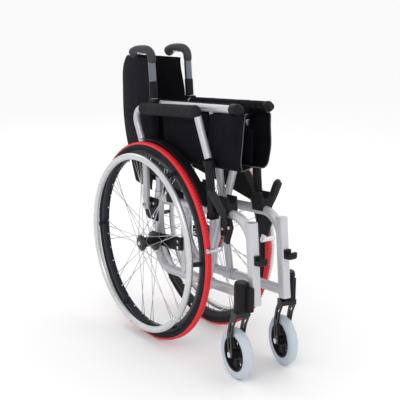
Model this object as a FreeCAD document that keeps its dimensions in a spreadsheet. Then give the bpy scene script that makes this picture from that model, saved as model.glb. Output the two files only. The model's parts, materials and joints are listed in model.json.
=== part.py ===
"""Folding manual wheelchair, modelled folded, in millimetres.

Frame: +X is the sitter's left, +Y is the rear, +Z is up. The origin is on the floor, at the centre of the
chair's box. Every sub-part is drawn from the rear axle (y = 0 there) and set back by the cell axle_back.
"""
import FreeCAD, Part
import Sketcher
import math
import os

V = FreeCAD.Vector
X_AXIS = V(1, 0, 0)
SIDES = {"left": 1, "right": -1}

doc = FreeCAD.newDocument("Wheelchair")
sheet = doc.addObject("Spreadsheet::Sheet", "Dimensions")
subparts = []


# ---------------------------------------------------------------- sizes

class Size:
    """A number that remembers the spreadsheet expression that gives it."""

    def __init__(self, value, text):
        self.value = float(value)
        self.text = text

    def __float__(self):
        return self.value

    def __add__(self, other):
        return Size(self.value + float(other), f"({self.text} + {words(other)})")

    __radd__ = __add__

    def __sub__(self, other):
        return Size(self.value - float(other), f"({self.text} - {words(other)})")

    def __rsub__(self, other):
        return Size(float(other) - self.value, f"({words(other)} - {self.text})")

    def __mul__(self, other):
        return Size(self.value * float(other), f"({self.text} * {words(other)})")

    __rmul__ = __mul__

    def __neg__(self):
        return self * -1


def words(size):
    """The expression text of a size or of a plain number."""
    return size.text if isinstance(size, Size) else repr(float(size))


def cell(alias, value):
    """Put one driving dimension in the sheet and return it as a Size."""
    row = cell.row
    cell.row += 1
    sheet.set(f"A{row}", alias.replace("_", " "))
    sheet.set(f"B{row}", str(value))
    sheet.setAlias(f"B{row}", alias)
    return Size(value, f"Dimensions.{alias}")


cell.row = 1

# whole chair
axle_back = cell("axle_back", 82.5)
pitch = cell("frame_pitch", 4)
brace_length = cell("brace_length", 509.6)
fold_angle = cell("fold_angle", 11.7)
# rear wheels
wheel_radius = cell("wheel_radius", 300)
wheel_offset = cell("wheel_offset", 105.75)
tyre_width = cell("tyre_width", 24)
tyre_bead = cell("tyre_bead", 276)
rim_inner = cell("rim_inner", 258)
handrim_offset = cell("handrim_offset", 40.25)
handrim_radius = cell("handrim_radius", 260.5)
handrim_tube = cell("handrim_tube", 9.5)
handrim_wall = cell("handrim_wall", 1.5)
tab_width = cell("tab_width", 12)
tab_count = cell("tab_count", 6)
axle_radius = cell("axle_radius", 6)
running_gap = cell("running_gap", 0.05)
hub_inboard = cell("hub_inboard", 14.75)
hub_outboard = cell("hub_outboard", 39.25)
flange_inner = cell("flange_inner", 30)
flange_outer = cell("flange_outer", 24)
hub_barrel = cell("hub_barrel", 14)
button_radius = cell("button_radius", 4)
button_length = cell("button_length", 10)
# side frame
frame_tube = cell("frame_tube", 14)
top_tube = cell("top_tube", 13.6)
post_tube = cell("post_tube", 12.5)
tube_wall = cell("tube_wall", 2)
lower_height = cell("lower_height", 223.5)
lower_middle = cell("lower_middle", -230)
top_height = cell("top_height", 435.5)
top_middle = cell("top_middle", -204.5)
rear_post = cell("rear_post", 33)
rear_post_top = cell("rear_post_top", 441)
axle_post = cell("axle_post", -105)
upright_top_back = cell("upright_top_back", -409)
upright_top = cell("upright_top", 441)
upright_foot_back = cell("upright_foot_back", -431)
upright_foot = cell("upright_foot", 218)
upright_wide = cell("upright_wide", 26)
upright_deep = cell("upright_deep", 30)
# casters
stem_offset = cell("stem_offset", 81.5)
stem_back = cell("stem_back", -408)
stem_radius = cell("stem_radius", 6)
housing_radius = cell("housing_radius", 20)
housing_foot = cell("housing_foot", 200)
housing_height = cell("housing_height", 72)
caster_radius = cell("caster_radius", 72)
caster_width = cell("caster_width", 30)
caster_trail = cell("caster_trail", 18)
caster_bead = cell("caster_bead", 49)
caster_bolt = cell("caster_bolt", 4)
fork_inside = cell("fork_inside", 17.5)
fork_plate = cell("fork_plate", 5)
fork_width = cell("fork_width", 22)
# seat
rail_tube = cell("rail_tube", 12.5)
rail_rear = cell("rail_rear", 13)
rail_front = cell("rail_front", -345)
brace_tube = cell("brace_tube", 11)
brace_foot_back = cell("brace_foot_back", -188)
brace_lean = cell("brace_lean", -47)
brace_step = cell("brace_step", -26)
sleeve_length = cell("sleeve_length", 40)
weld_gap = cell("weld_gap", 0.05)
panel_offset = cell("panel_offset", 13.2)
panel_start = cell("panel_start", 17)
panel_reach = cell("panel_reach", 167)
panel_thick = cell("panel_thick", 3)
panel_rear = cell("panel_rear", -8)
panel_front = cell("panel_front", -335)
open_angle = cell("open_angle", 59.5)
# back
cane_offset = cell("cane_offset", 64)
cane_back = cell("cane_back", 38)
cane_tube = cell("cane_tube", 10.5)
grip_radius = cell("grip_radius", 13)
back_angle = cell("back_angle", 15.7)
back_foot = cell("back_foot", 440)
back_top = cell("back_top", 832)
back_reach = cell("back_reach", 227)
# armrest
arm_tube = cell("arm_tube", 10.5)
arm_foot_offset = cell("arm_foot_offset", 81.5)
arm_top_offset = cell("arm_top_offset", 88)
arm_pivot_back = cell("arm_pivot_back", 58)
arm_pivot_height = cell("arm_pivot_height", 400)
pad_offset = cell("pad_offset", 92)
pad_half_width = cell("pad_half_width", 15)
pad_half_height = cell("pad_half_height", 19)
# brakes
brake_pin_back = cell("brake_pin_back", -326)
brake_pin_height = cell("brake_pin_height", 425)
shoe_pin_back = cell("shoe_pin_back", -318)
shoe_pin_height = cell("shoe_pin_height", 382)
brake_plate = cell("brake_plate", 5.5)
brake_pin = cell("brake_pin", 3)
shoe_radius = cell("shoe_radius", 7)
doc.recompute()

# sizes worked out from the cells
SLOPE = math.tan(math.radians(pitch.value))
ALONG = V(0, -math.cos(math.radians(pitch.value)), math.sin(math.radians(pitch.value)))
UP = V(0, ALONG.z, -ALONG.y)
FOLD = math.radians(fold_angle.value)
FRAME_X = brace_length.value * math.sin(FOLD) / 2
RAIL_RISE = brace_length.value * math.cos(FOLD) / math.cos(math.radians(pitch.value))
DROP = brace_length.value * (math.cos(FOLD) - math.cos(math.radians(open_angle.value)))
FRAME_FACE = FRAME_X + frame_tube.value
frame_half = brace_length * math.sin(FOLD) * 0.5
frame_face = frame_half + frame_tube


def lower_z(back):
    """Height of the lower tube's axis."""
    return lower_height.value + (lower_middle.value - back) * SLOPE


def top_z(back):
    """Height of the top tube's axis."""
    return top_height.value + (top_middle.value - back) * SLOPE


def rail_z(back):
    """Height of the seat rail's axis, folded."""
    return lower_z(back) + RAIL_RISE


# ---------------------------------------------------------------- shapes

def rounded_path(points, bends):
    """A wire through the points, with an arc of the given radius at each inner point."""
    edges = []
    start = points[0]
    for before, corner, after, bend in zip(points, points[1:], points[2:], bends):
        inward = (before - corner).normalize()
        outward = (after - corner).normalize()
        half = inward.getAngle(outward) / 2
        reach = bend / math.tan(half)
        entry = corner + inward * reach
        leave = corner + outward * reach
        centre = corner + (inward + outward).normalize() * (bend / math.sin(half))
        middle = centre + (corner - centre).normalize() * bend
        edges.append(Part.LineSegment(start, entry).toShape())
        edges.append(Part.Arc(entry, middle, leave).toShape())
        start = leave
    edges.append(Part.LineSegment(start, points[-1]).toShape())
    return Part.Wire(edges)


def bar(points, bends, radius):
    """A round bar bent along the points."""
    path = rounded_path(points, bends)
    ring = Part.Wire(Part.Circle(points[0], points[1] - points[0], radius).toShape())
    return path.makePipeShell([ring], True, False)


def tube(points, bends, radius, wall):
    """A round tube with closed ends, bent along the points."""
    first = points[0] + (points[1] - points[0]).normalize() * wall
    last = points[-1] + (points[-2] - points[-1]).normalize() * wall
    core = bar([first] + points[1:-1] + [last], bends, radius - wall)
    return bar(points, bends, radius).cut(core)


def rod(start, end, radius):
    """A straight round bar from start to end."""
    return Part.makeCylinder(radius, (end - start).Length, start, end - start)


def across(side, inboard, outboard, back, height, radius):
    """A round bar across the chair, from inboard to outboard."""
    return rod(V(side * inboard, back, height), V(side * outboard, back, height), radius)


def block(side, inboard, outboard, front, rear, low, high):
    """A box given by its six faces, mirrored for the right side."""
    least = min(side * inboard, side * outboard)
    return Part.makeBox(outboard - inboard, rear - front, high - low, V(least, front, low))


def prism(side, inboard, outboard, outline):
    """A flat plate across X, with an outline of (y, z) points."""
    corners = [V(side * inboard, back, height) for back, height in outline]
    face = Part.Face(Part.makePolygon(corners + corners[:1]))
    return face.extrude(V(side * (outboard - inboard), 0, 0))


def chain(side, inboard, outboard, points, width):
    """A flat link with round ends and joints, through (y, z) points."""
    shape = None
    for (back, height), (next_back, next_height) in zip(points, points[1:]):
        run = V(0, next_back - back, next_height - height)
        normal = V(0, -run.z, run.y).normalize() * (width / 2)
        corners = [V(0, back, height) + normal, V(0, back, height) - normal]
        corners += [corner + run for corner in reversed(corners)]
        piece = prism(side, inboard, outboard, [(corner.y, corner.z) for corner in corners])
        for end_back, end_height in ((back, height), (next_back, next_height)):
            piece = piece.fuse(across(side, inboard, outboard, end_back, end_height, width / 2))
        shape = piece if shape is None else shape.fuse(piece)
    return shape.removeSplitter()


# ---------------------------------------------------------------- document objects

def bind(thing, path, size):
    """Set one property, bound to the sheet when it is a Size."""
    if isinstance(size, Size):
        thing.setExpression(path, size.text)
    else:
        target = thing
        names = path.split(".")
        for name in names[:-1]:
            target = getattr(target, name)
        setattr(target, names[-1], size)


def place(thing, offset=0.0, back=0.0, height=0.0):
    """Stand a sub-part at (offset, back, height) from the rear axle's foot, bound to the sheet."""
    spot = (offset, axle_back + back, height)
    turn = thing.Placement.Rotation
    thing.Placement = FreeCAD.Placement(V(*[float(size) for size in spot]), turn)
    for letter, size in zip("xyz", spot):
        if isinstance(size, Size):
            thing.setExpression(f"Placement.Base.{letter}", size.text)


def finish(thing, label):
    """Give a finished sub-part its name and list it."""
    thing.Label = label
    subparts.append(thing)
    return thing


def feature(label, shape, offset=0.0, back=0.0, height=0.0):
    """A sub-part whose shape neither a body nor a primitive makes."""
    thing = doc.addObject("Part::Feature", label)
    thing.Shape = shape
    place(thing, offset, back, height)
    return finish(thing, label)


def cylinder(name, radius, length, start, direction):
    """A Part cylinder bound to the sheet, from start along direction."""
    thing = doc.addObject("Part::Cylinder", name)
    thing.Placement = FreeCAD.Placement(V(0, 0, 0), FreeCAD.Rotation(V(0, 0, 1), direction))
    bind(thing, "Radius", radius)
    bind(thing, "Height", length)
    for letter, size in zip("xyz", start):
        bind_or_set_base(thing, letter, size)
    return thing


def bind_or_set_base(thing, letter, size):
    """Set one coordinate of a placement, bound when it is a Size."""
    base = thing.Placement.Base
    setattr(base, letter, float(size))
    thing.Placement = FreeCAD.Placement(base, thing.Placement.Rotation)
    if isinstance(size, Size):
        thing.setExpression(f"Placement.Base.{letter}", size.text)


def cut(name, base, tool):
    """Base minus tool."""
    thing = doc.addObject("Part::Cut", name)
    thing.Base = base
    thing.Tool = tool
    return thing


def fuse(name, shapes):
    """The union of several objects."""
    thing = doc.addObject("Part::MultiFuse", name)
    thing.Shapes = shapes
    return thing


def origin_plane(body, role):
    """One of a body's own origin planes or axes."""
    return next(item for item in body.Origin.OriginFeatures if item.Role == role)


def polygon_sketch(body, name, plane, points, lift=0.0, circles=()):
    """A closed polygon whose every corner is held by distances bound to the sheet."""
    sketch = body.newObject("Sketcher::SketchObject", name)
    sketch.AttachmentSupport = [(origin_plane(body, plane), "")]
    sketch.MapMode = "FlatFace"
    sketch.AttachmentOffset = FreeCAD.Placement(V(0, 0, float(lift)), FreeCAD.Rotation())
    if isinstance(lift, Size):
        sketch.setExpression("AttachmentOffset.Base.z", lift.text)
    corners = [V(float(across_size), float(up_size), 0) for across_size, up_size in points]
    for index, corner in enumerate(corners):
        sketch.addGeometry(Part.LineSegment(corner, corners[(index + 1) % len(corners)]), False)
    for index in range(len(corners)):
        sketch.addConstraint(Sketcher.Constraint("Coincident", index, 2, (index + 1) % len(corners), 1))
    for index, point in enumerate(points):
        hold_point(sketch, index, 1, point)
    for index, (centre, radius) in enumerate(circles, start=len(corners)):
        middle = V(float(centre[0]), float(centre[1]), 0)
        sketch.addGeometry(Part.Circle(middle, V(0, 0, 1), float(radius)), False)
        hold_point(sketch, index, 3, centre)
        number = sketch.addConstraint(Sketcher.Constraint("Radius", index, float(radius)))
        if isinstance(radius, Size):
            sketch.setExpression(f"Constraints[{number}]", radius.text)
    return sketch


def hold_point(sketch, index, end, point):
    """Hold one sketch point at its two distances from the origin."""
    for kind, size in zip(("DistanceX", "DistanceY"), point):
        number = sketch.addConstraint(Sketcher.Constraint(kind, -1, 1, index, end, float(size)))
        if isinstance(size, Size):
            sketch.setExpression(f"Constraints[{number}]", size.text)


def new_body(label):
    """An empty body for one sub-part."""
    body = doc.addObject("PartDesign::Body", label)
    body.Label = label
    return body


def turned(body, name, points):
    """A revolution about the body's X axis of (x, radius) points."""
    sketch = polygon_sketch(body, f"{name}_profile", "XY_Plane", points)
    turn = body.newObject("PartDesign::Revolution", name)
    turn.Profile = sketch
    turn.ReferenceAxis = (sketch, ["H_Axis"])
    turn.Angle = 360
    return turn


def padded(body, name, points, side, inboard, thickness, circles=()):
    """A plate across X, from inboard and outwards, with an outline of (y, z) points."""
    lift = inboard if side > 0 else -(inboard + thickness)
    sketch = polygon_sketch(body, f"{name}_outline", "YZ_Plane", points, lift, circles)
    pad = body.newObject("PartDesign::Pad", name)
    pad.Profile = sketch
    bind(pad, "Length", thickness)
    return pad


# ---------------------------------------------------------------- side frames

def side_frame(name, side):
    """Welded tubes: top, bend, upright, lower, two posts and the slotted corner plate."""
    wall = tube_wall.value
    corner_back = upright_top_back.value + 4
    top = [V(side * FRAME_X, rear_post.value, top_z(rear_post.value)),
           V(side * FRAME_X, corner_back, top_z(corner_back)),
           V(side * FRAME_X, corner_back - 12, 340)]
    lower = [V(side * FRAME_X, rear_post.value, rear_post_top.value),
             V(side * FRAME_X, rear_post.value, lower_z(rear_post.value)),
             V(side * FRAME_X, upright_foot_back.value, lower_z(upright_foot_back.value))]
    post = [V(side * FRAME_X, axle_post.value, top_z(axle_post.value)),
            V(side * FRAME_X, axle_post.value, lower_z(axle_post.value))]
    routes = ((top, [74], top_tube.value), (lower, [56], frame_tube.value), (post, [], post_tube.value))
    outer = [bar(points, bends, radius) for points, bends, radius in routes]
    inner = [bar(points, bends, radius - wall) for points, bends, radius in routes]
    head = V(side * FRAME_X, upright_top_back.value, upright_top.value)
    foot = V(side * FRAME_X, upright_foot_back.value, upright_foot.value)
    outer.append(oval_bar(head, foot, upright_wide.value, upright_deep.value))
    run = (foot - head).normalize() * wall
    inner.append(oval_bar(head + run, foot - run, upright_wide.value - 2 * wall, upright_deep.value - 2 * wall))
    shape = outer[0].multiFuse(outer[1:] + [corner_plate(side)])
    cap = V(0, 0, wall)
    keep = rod(lower[0], lower[0] - cap, frame_tube.value)
    hollow = inner[0].multiFuse(inner[1:]).cut(keep)
    feature(f"{name}_side_frame", shape.cut(hollow).removeSplitter())


def oval_bar(head, foot, wide, deep):
    """A straight bar with a rounded rectangular section."""
    run = foot - head
    plate = Part.makeBox(wide, deep, run.Length, V(-wide / 2, -deep / 2, 0))
    edges = [edge for edge in plate.Edges if abs(edge.Length - run.Length) < 1e-6]
    shape = plate.makeFillet(min(8, wide / 2 - 3), edges)
    shape.Placement = FreeCAD.Placement(head, FreeCAD.Rotation(V(0, 0, 1), run))
    return shape


def corner_plate(side):
    """The plate in the rear lower corner, with a hollow front edge and a curved slot."""
    thick = 3
    centre_back, centre_height = -95, 330
    outline = [(rear_post.value, centre_height), (rear_post.value, 262), (12, 218), (-14, 206),
               (centre_back, lower_z(centre_back)), (centre_back, 330)]
    plate = prism(side, FRAME_X - thick, FRAME_X + thick, outline)
    hollow = across(side, FRAME_X - 9, FRAME_X + 9, centre_back, centre_height, 113)
    return plate.cut(hollow).cut(arc_slot(side, centre_back, centre_height, 131, 9))


def arc_slot(side, back, height, radius, width):
    """A curved slot about a centre, from 22 to 66 degrees below the rearward level."""
    ring = across(side, FRAME_X - 9, FRAME_X + 9, back, height, radius + width / 2)
    ring = ring.cut(across(side, FRAME_X - 9, FRAME_X + 9, back, height, radius - width / 2))
    reach = 2 * radius
    ends = [math.radians(angle) for angle in (-22, -66)]
    wedge = [(back, height)] + [(back + reach * math.cos(a), height + reach * math.sin(a)) for a in ends]
    return ring.common(prism(side, FRAME_X - 9, FRAME_X + 9, wedge))


def axle_bracket(name, side):
    """The plate that carries the quick-release axle, bolted to both posts."""
    body = new_body(f"{name}_axle_bracket")
    points = [(24, wheel_radius - 17), (-60, wheel_radius - 15), (axle_post - 8, wheel_radius - 8),
              (axle_post - 8, wheel_radius + 31), (-60, wheel_radius + 26), (24, wheel_radius + 16)]
    axle = ((0.0, wheel_radius), axle_radius)
    padded(body, f"{name}_axle_plate", points, side, frame_face + 0.1, 8, [axle])
    boss = polygon_boss(body, f"{name}_axle_boss", side, frame_face + 8.1, 13, 20)
    body.Tip = boss
    place(body)
    finish(body, f"{name}_axle_bracket")


def polygon_boss(body, name, side, inboard, thickness, radius):
    """A round boss about the axle, with the axle's hole."""
    lift = inboard if side > 0 else -(inboard + thickness)
    sketch = body.newObject("Sketcher::SketchObject", f"{name}_outline")
    sketch.AttachmentSupport = [(origin_plane(body, "YZ_Plane"), "")]
    sketch.MapMode = "FlatFace"
    sketch.AttachmentOffset = FreeCAD.Placement(V(0, 0, float(lift)), FreeCAD.Rotation())
    sketch.setExpression("AttachmentOffset.Base.z", lift.text)
    for index, size in enumerate((radius, axle_radius)):
        sketch.addGeometry(Part.Circle(V(0, wheel_radius.value, 0), V(0, 0, 1), float(size)), False)
        hold_point(sketch, index, 3, (0.0, wheel_radius))
        number = sketch.addConstraint(Sketcher.Constraint("Radius", index, float(size)))
        if isinstance(size, Size):
            sketch.setExpression(f"Constraints[{number}]", size.text)
    pad = body.newObject("PartDesign::Pad", name)
    pad.Profile = sketch
    bind(pad, "Length", thickness)
    return pad


def seat_saddle(name, side, middles):
    """Cradles on the top tube that take the seat rail when the chair is open."""
    shapes = []
    for middle in middles:
        half, length = 17, 42
        spot = V(side * FRAME_X, middle, top_z(middle))
        landing = V(side * FRAME_X, middle, landing_z(middle))
        rise = (landing.z - spot.z) * math.cos(math.radians(pitch.value))
        solid = Part.makeBox(2 * half, length, rise + 5, V(-half, -length / 2, 0))
        edges = [edge for edge in solid.Edges if abs(edge.Length - length) < 1e-6]
        solid = solid.makeFillet(3, [edge for edge in edges if edge.CenterOfMass.z > rise])
        solid.Placement = FreeCAD.Placement(spot, FreeCAD.Rotation(X_AXIS, -pitch.value))
        groove = rod(landing - ALONG * length, landing + ALONG * length, rail_tube.value + 0.4)
        channel = Part.makeBox(2 * (rail_tube.value + 0.4), 2 * length, 30,
                               V(-rail_tube.value - 0.4, -length, 0))
        channel.Placement = FreeCAD.Placement(landing, FreeCAD.Rotation(X_AXIS, -pitch.value))
        seat = rod(spot - ALONG * length, spot + ALONG * length, top_tube.value + 0.05)
        shapes.append(solid.cut(groove.fuse(channel)).cut(seat))
    feature(f"{name}_seat_saddles", Part.makeCompound(shapes))


def landing_z(back):
    """Height of the seat rail's axis when the chair is open."""
    shift = UP * -DROP
    return rail_z(back - shift.y) + shift.z


def caster_housing(name, side):
    """The round housing that the caster's stem turns in, clamped to the upright."""
    offset = stem_offset * side
    shell = cylinder(f"{name}_housing_shell", housing_radius, housing_height,
                     (offset, stem_back, housing_foot), V(0, 0, 1))
    dome = doc.addObject("Part::Sphere", f"{name}_housing_dome")
    bind(dome, "Radius", housing_radius)
    dome.Angle1 = 0
    for letter, size in zip("xyz", (offset, stem_back, housing_foot + housing_height)):
        bind_or_set_base(dome, letter, size)
    squat = cylinder(f"{name}_housing_cap", housing_radius + 1, 30,
                     (offset, stem_back, housing_foot + housing_height + 10), V(0, 0, 1))
    low_dome = cut(f"{name}_housing_top", dome, squat)
    clamp = doc.addObject("Part::Box", f"{name}_housing_clamp")
    width = stem_offset - frame_face - 0.1
    bind(clamp, "Length", width)
    clamp.Width = 34
    clamp.Height = 66
    inner_face = stem_offset - width
    bind_or_set_base(clamp, "x", inner_face if side > 0 else -inner_face - width)
    bind_or_set_base(clamp, "y", stem_back - 34)
    bind_or_set_base(clamp, "z", housing_foot + 4)
    round_whole = fuse(f"{name}_housing_whole", [shell, low_dome, clamp])
    flat = doc.addObject("Part::Box", f"{name}_housing_flat")
    flat.Length, flat.Width, flat.Height = 40, 90, 120
    bind_or_set_base(flat, "x", inner_face - 40 if side > 0 else -inner_face)
    bind_or_set_base(flat, "y", stem_back - 45)
    bind_or_set_base(flat, "z", housing_foot - 5)
    whole = cut(f"{name}_housing_flattened", round_whole, flat)
    bore = cylinder(f"{name}_housing_bore", stem_radius + running_gap, 61,
                    (offset, stem_back, housing_foot - 1), V(0, 0, 1))
    housing = cut(f"{name}_caster_housing", whole, bore)
    place(housing)
    finish(housing, f"{name}_caster_housing")


def footrest_receiver(name, side):
    """The hook on the upright that a footrest hangs on."""
    body = new_body(f"{name}_footrest_receiver")
    face = -435.2
    tip = -axle_back - (wheel_radius + axle_back)
    points = [(face, 331.0), (tip + 4, 334.0), (tip, 339.0), (tip, 353.0), (tip + 8, 353.0),
              (tip + 8, 345.0), (face - 6, 345.0), (face - 6, 356.0), (face + 2, 356.0)]
    padded(body, f"{name}_receiver_hook", points, side, frame_half - 10, 20)
    place(body)
    finish(body, f"{name}_footrest_receiver")


def post_brackets(name, side):
    """Arm pivot plate, front arm socket and the collar on the back tube, as separate solids."""
    plate_in, plate_out = FRAME_FACE + 0.1, FRAME_FACE + 4.6
    back, height = arm_pivot_back.value, arm_pivot_height.value
    plate = prism(side, plate_in, plate_out, [(18, 352), (70, 352), (88, 372), (88, 408), (74, 421), (18, 421)])
    pin = across(side, plate_in, arm_foot_offset.value + 12, back, height, 4)
    foot = block(side, plate_in, 92, -285.5, -264, top_z(-275) - 14, top_z(-275) + 2.5)
    low = V(side * 82, -276, top_z(-275) - 6)
    high = V(side * 82, -260.5, 587)
    socket = foot.fuse(rod(low, high, 12.5)).fuse(rod(high - (high - low).normalize() * 16, high, 16))
    cane = rod(V(side * cane_offset.value, cane_back.value, 600), V(side * cane_offset.value, cane_back.value, 800),
               cane_tube.value)
    collar = block(side, cane_offset.value - 13, cane_offset.value + 12, 22, 50.5, 697, 722).cut(cane)
    feature(f"{name}_post_brackets", Part.makeCompound([plate.fuse(pin), socket.removeSplitter(), collar]))


def side_guard(name, side):
    """Clothes guard: a web beside the seat with a lip that follows the tyre."""
    inside, web, lip_edge = 77, 2.5, 101
    outer, inner = wheel_radius.value + 8.5, wheel_radius.value + 6
    axle_height = wheel_radius.value
    disc = across(side, inside, lip_edge, 0, axle_height, outer)
    shell = disc.cut(across(side, inside, lip_edge, 0, axle_height, inner))
    sector = prism(side, inside, lip_edge, [(0, axle_height), (65, 640), (-160, 640), (-272, 470)])
    lip = shell.common(sector)
    outline = [(44, 640), (44, 500), (-120, 474), (-243, 452), (-246, 640)]
    plate = prism(side, inside, inside + web, outline).common(disc)
    feature(f"{name}_side_guard", lip.fuse(plate).removeSplitter())


def brake_bracket(name, side):
    """Plate on the top tube with the pins of the brake lever and of the shoe."""
    body = new_body(f"{name}_brake_bracket")
    points = [(-352.0, 414.0), (-344.0, 438.0), (-300.0, 438.0), (-299.0, 400.0), (-303.0, 368.0), (-334.0, 366.0)]
    padded(body, f"{name}_brake_plate", points, side, frame_face + 0.1, brake_plate)
    lift = frame_face + brake_plate - 0.9
    for tag, back, height in (("lever", brake_pin_back, brake_pin_height), ("shoe", shoe_pin_back, shoe_pin_height)):
        sketch = body.newObject("Sketcher::SketchObject", f"{name}_{tag}_pin_outline")
        sketch.AttachmentSupport = [(origin_plane(body, "YZ_Plane"), "")]
        sketch.MapMode = "FlatFace"
        level = lift if side > 0 else -(lift + 10)
        sketch.AttachmentOffset = FreeCAD.Placement(V(0, 0, float(level)), FreeCAD.Rotation())
        sketch.setExpression("AttachmentOffset.Base.z", level.text)
        sketch.addGeometry(Part.Circle(V(float(back), float(height), 0), V(0, 0, 1), brake_pin.value), False)
        hold_point(sketch, 0, 3, (back, height))
        number = sketch.addConstraint(Sketcher.Constraint("Radius", 0, brake_pin.value))
        sketch.setExpression(f"Constraints[{number}]", brake_pin.text)
        pad = body.newObject("PartDesign::Pad", f"{name}_{tag}_pin")
        pad.Profile = sketch
        pad.Length = 10
    place(body)
    finish(body, f"{name}_brake_bracket")


def frame_bolts(name, side):
    """Button-headed bolts of one side, as separate solids."""
    spots = [(FRAME_FACE + 8.1, axle_post.value + 5, 318, 5), (FRAME_FACE + 8.1, axle_post.value + 5, 299, 5),
             (FRAME_FACE + 4.6, 34, 366, 5), (FRAME_FACE + 4.6, 34, 405, 5),
             (FRAME_FACE + brake_plate.value + 0.1, -312, 405, 5),
             (FRAME_FACE + brake_plate.value + 0.1, -340, 414, 5)]
    heads = []
    for face, back, height, radius in spots:
        head = across(side, face, face + 3.5, back, height, radius)
        heads.append(head.cut(across(side, face + 1.5, face + 3.6, back, height, radius / 2)))
    feature(f"{name}_frame_bolts", Part.makeCompound(heads))


# ---------------------------------------------------------------- wheels

def rear_wheel(name, side):
    """Tyre, rim with handrim tabs, handrim, hub, axle and its release button."""
    offset = wheel_offset * side
    half = tyre_width * 0.5
    body = new_body(f"{name}_tyre")
    turned(body, f"{name}_tyre_ring", [
        (-half, tyre_bead), (half, tyre_bead), (half, wheel_radius - 9), (half - 3, wheel_radius - 2.5),
        (half - 8, wheel_radius), (8 - half, wheel_radius), (3 - half, wheel_radius - 2.5), (-half, wheel_radius - 9)])
    place(body, offset, 0, wheel_radius)
    finish(body, f"{name}_tyre")

    body = new_body(f"{name}_rim")
    turned(body, f"{name}_rim_ring", [
        (2 - half, tyre_bead), (half - 2, tyre_bead), (half - 2, tyre_bead - 7), (6.0, rim_inner),
        (-6.0, rim_inner), (2 - half, tyre_bead - 7)])
    near, far = (half - 3) * side, (handrim_offset - handrim_tube) * side
    low, high = handrim_radius - 3, handrim_radius + 3
    sketch = polygon_sketch(body, f"{name}_tab_outline", "XY_Plane",
                            [(near, high + 6), (near, low + 2), (far, low), (far, high)])
    tab = body.newObject("PartDesign::Pad", f"{name}_tab")
    tab.Profile = sketch
    bind(tab, "Length", tab_width)
    tab.Midplane = True
    ring = body.newObject("PartDesign::PolarPattern", f"{name}_tabs")
    ring.Originals = [tab]
    ring.Axis = (origin_plane(body, "X_Axis"), [""])
    ring.Angle = 360
    bind(ring, "Occurrences", tab_count)
    body.Tip = ring
    place(body, offset, 0, wheel_radius)
    finish(body, f"{name}_rim")

    rings = []
    for tag, radius in (("outside", handrim_tube), ("inside", handrim_tube - handrim_wall)):
        ring = doc.addObject("Part::Torus", f"{name}_handrim_{tag}")
        bind(ring, "Radius1", handrim_radius)
        bind(ring, "Radius2", radius)
        rings.append(ring)
    handrim = cut(f"{name}_handrim", *rings)
    handrim.Placement = FreeCAD.Placement(V(0, 0, 0), FreeCAD.Rotation(V(0, 1, 0), 90))
    place(handrim, (wheel_offset + handrim_offset) * side, 0, wheel_radius)
    finish(handrim, f"{name}_handrim")

    body = new_body(f"{name}_hub")
    inner, outer = -hub_inboard, hub_outboard
    bore = axle_radius + running_gap
    profile = [(inner, bore), (inner, flange_inner), (inner + 3, flange_inner), (inner + 7, hub_barrel),
               (outer - 12, hub_barrel), (outer - 8, flange_outer), (outer - 5, flange_outer),
               (outer - 4, flange_outer - 5), (outer, flange_outer - 7), (outer, bore)]
    turned(body, f"{name}_hub_shell", [(along * side, radius) for along, radius in profile])
    place(body, offset, 0, wheel_radius)
    finish(body, f"{name}_hub")

    length = wheel_offset + hub_outboard + 2 - 54
    pin = cylinder(f"{name}_axle_rod", axle_radius, length, (54.0 * side, 0.0, wheel_radius), V(side, 0, 0))
    end = wheel_offset + hub_outboard + 2
    pocket = cylinder(f"{name}_axle_pocket", button_radius + running_gap, button_length + 4,
                      ((end - button_length - 3) * side, 0.0, wheel_radius), V(side, 0, 0))
    axle = cut(f"{name}_axle", pin, pocket)
    place(axle)
    finish(axle, f"{name}_axle")
    button = cylinder(f"{name}_release_button", button_radius, button_length,
                      ((end - button_length + 3) * side, axle_back, wheel_radius), V(side, 0, 0))
    finish(button, f"{name}_release_button")


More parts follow.
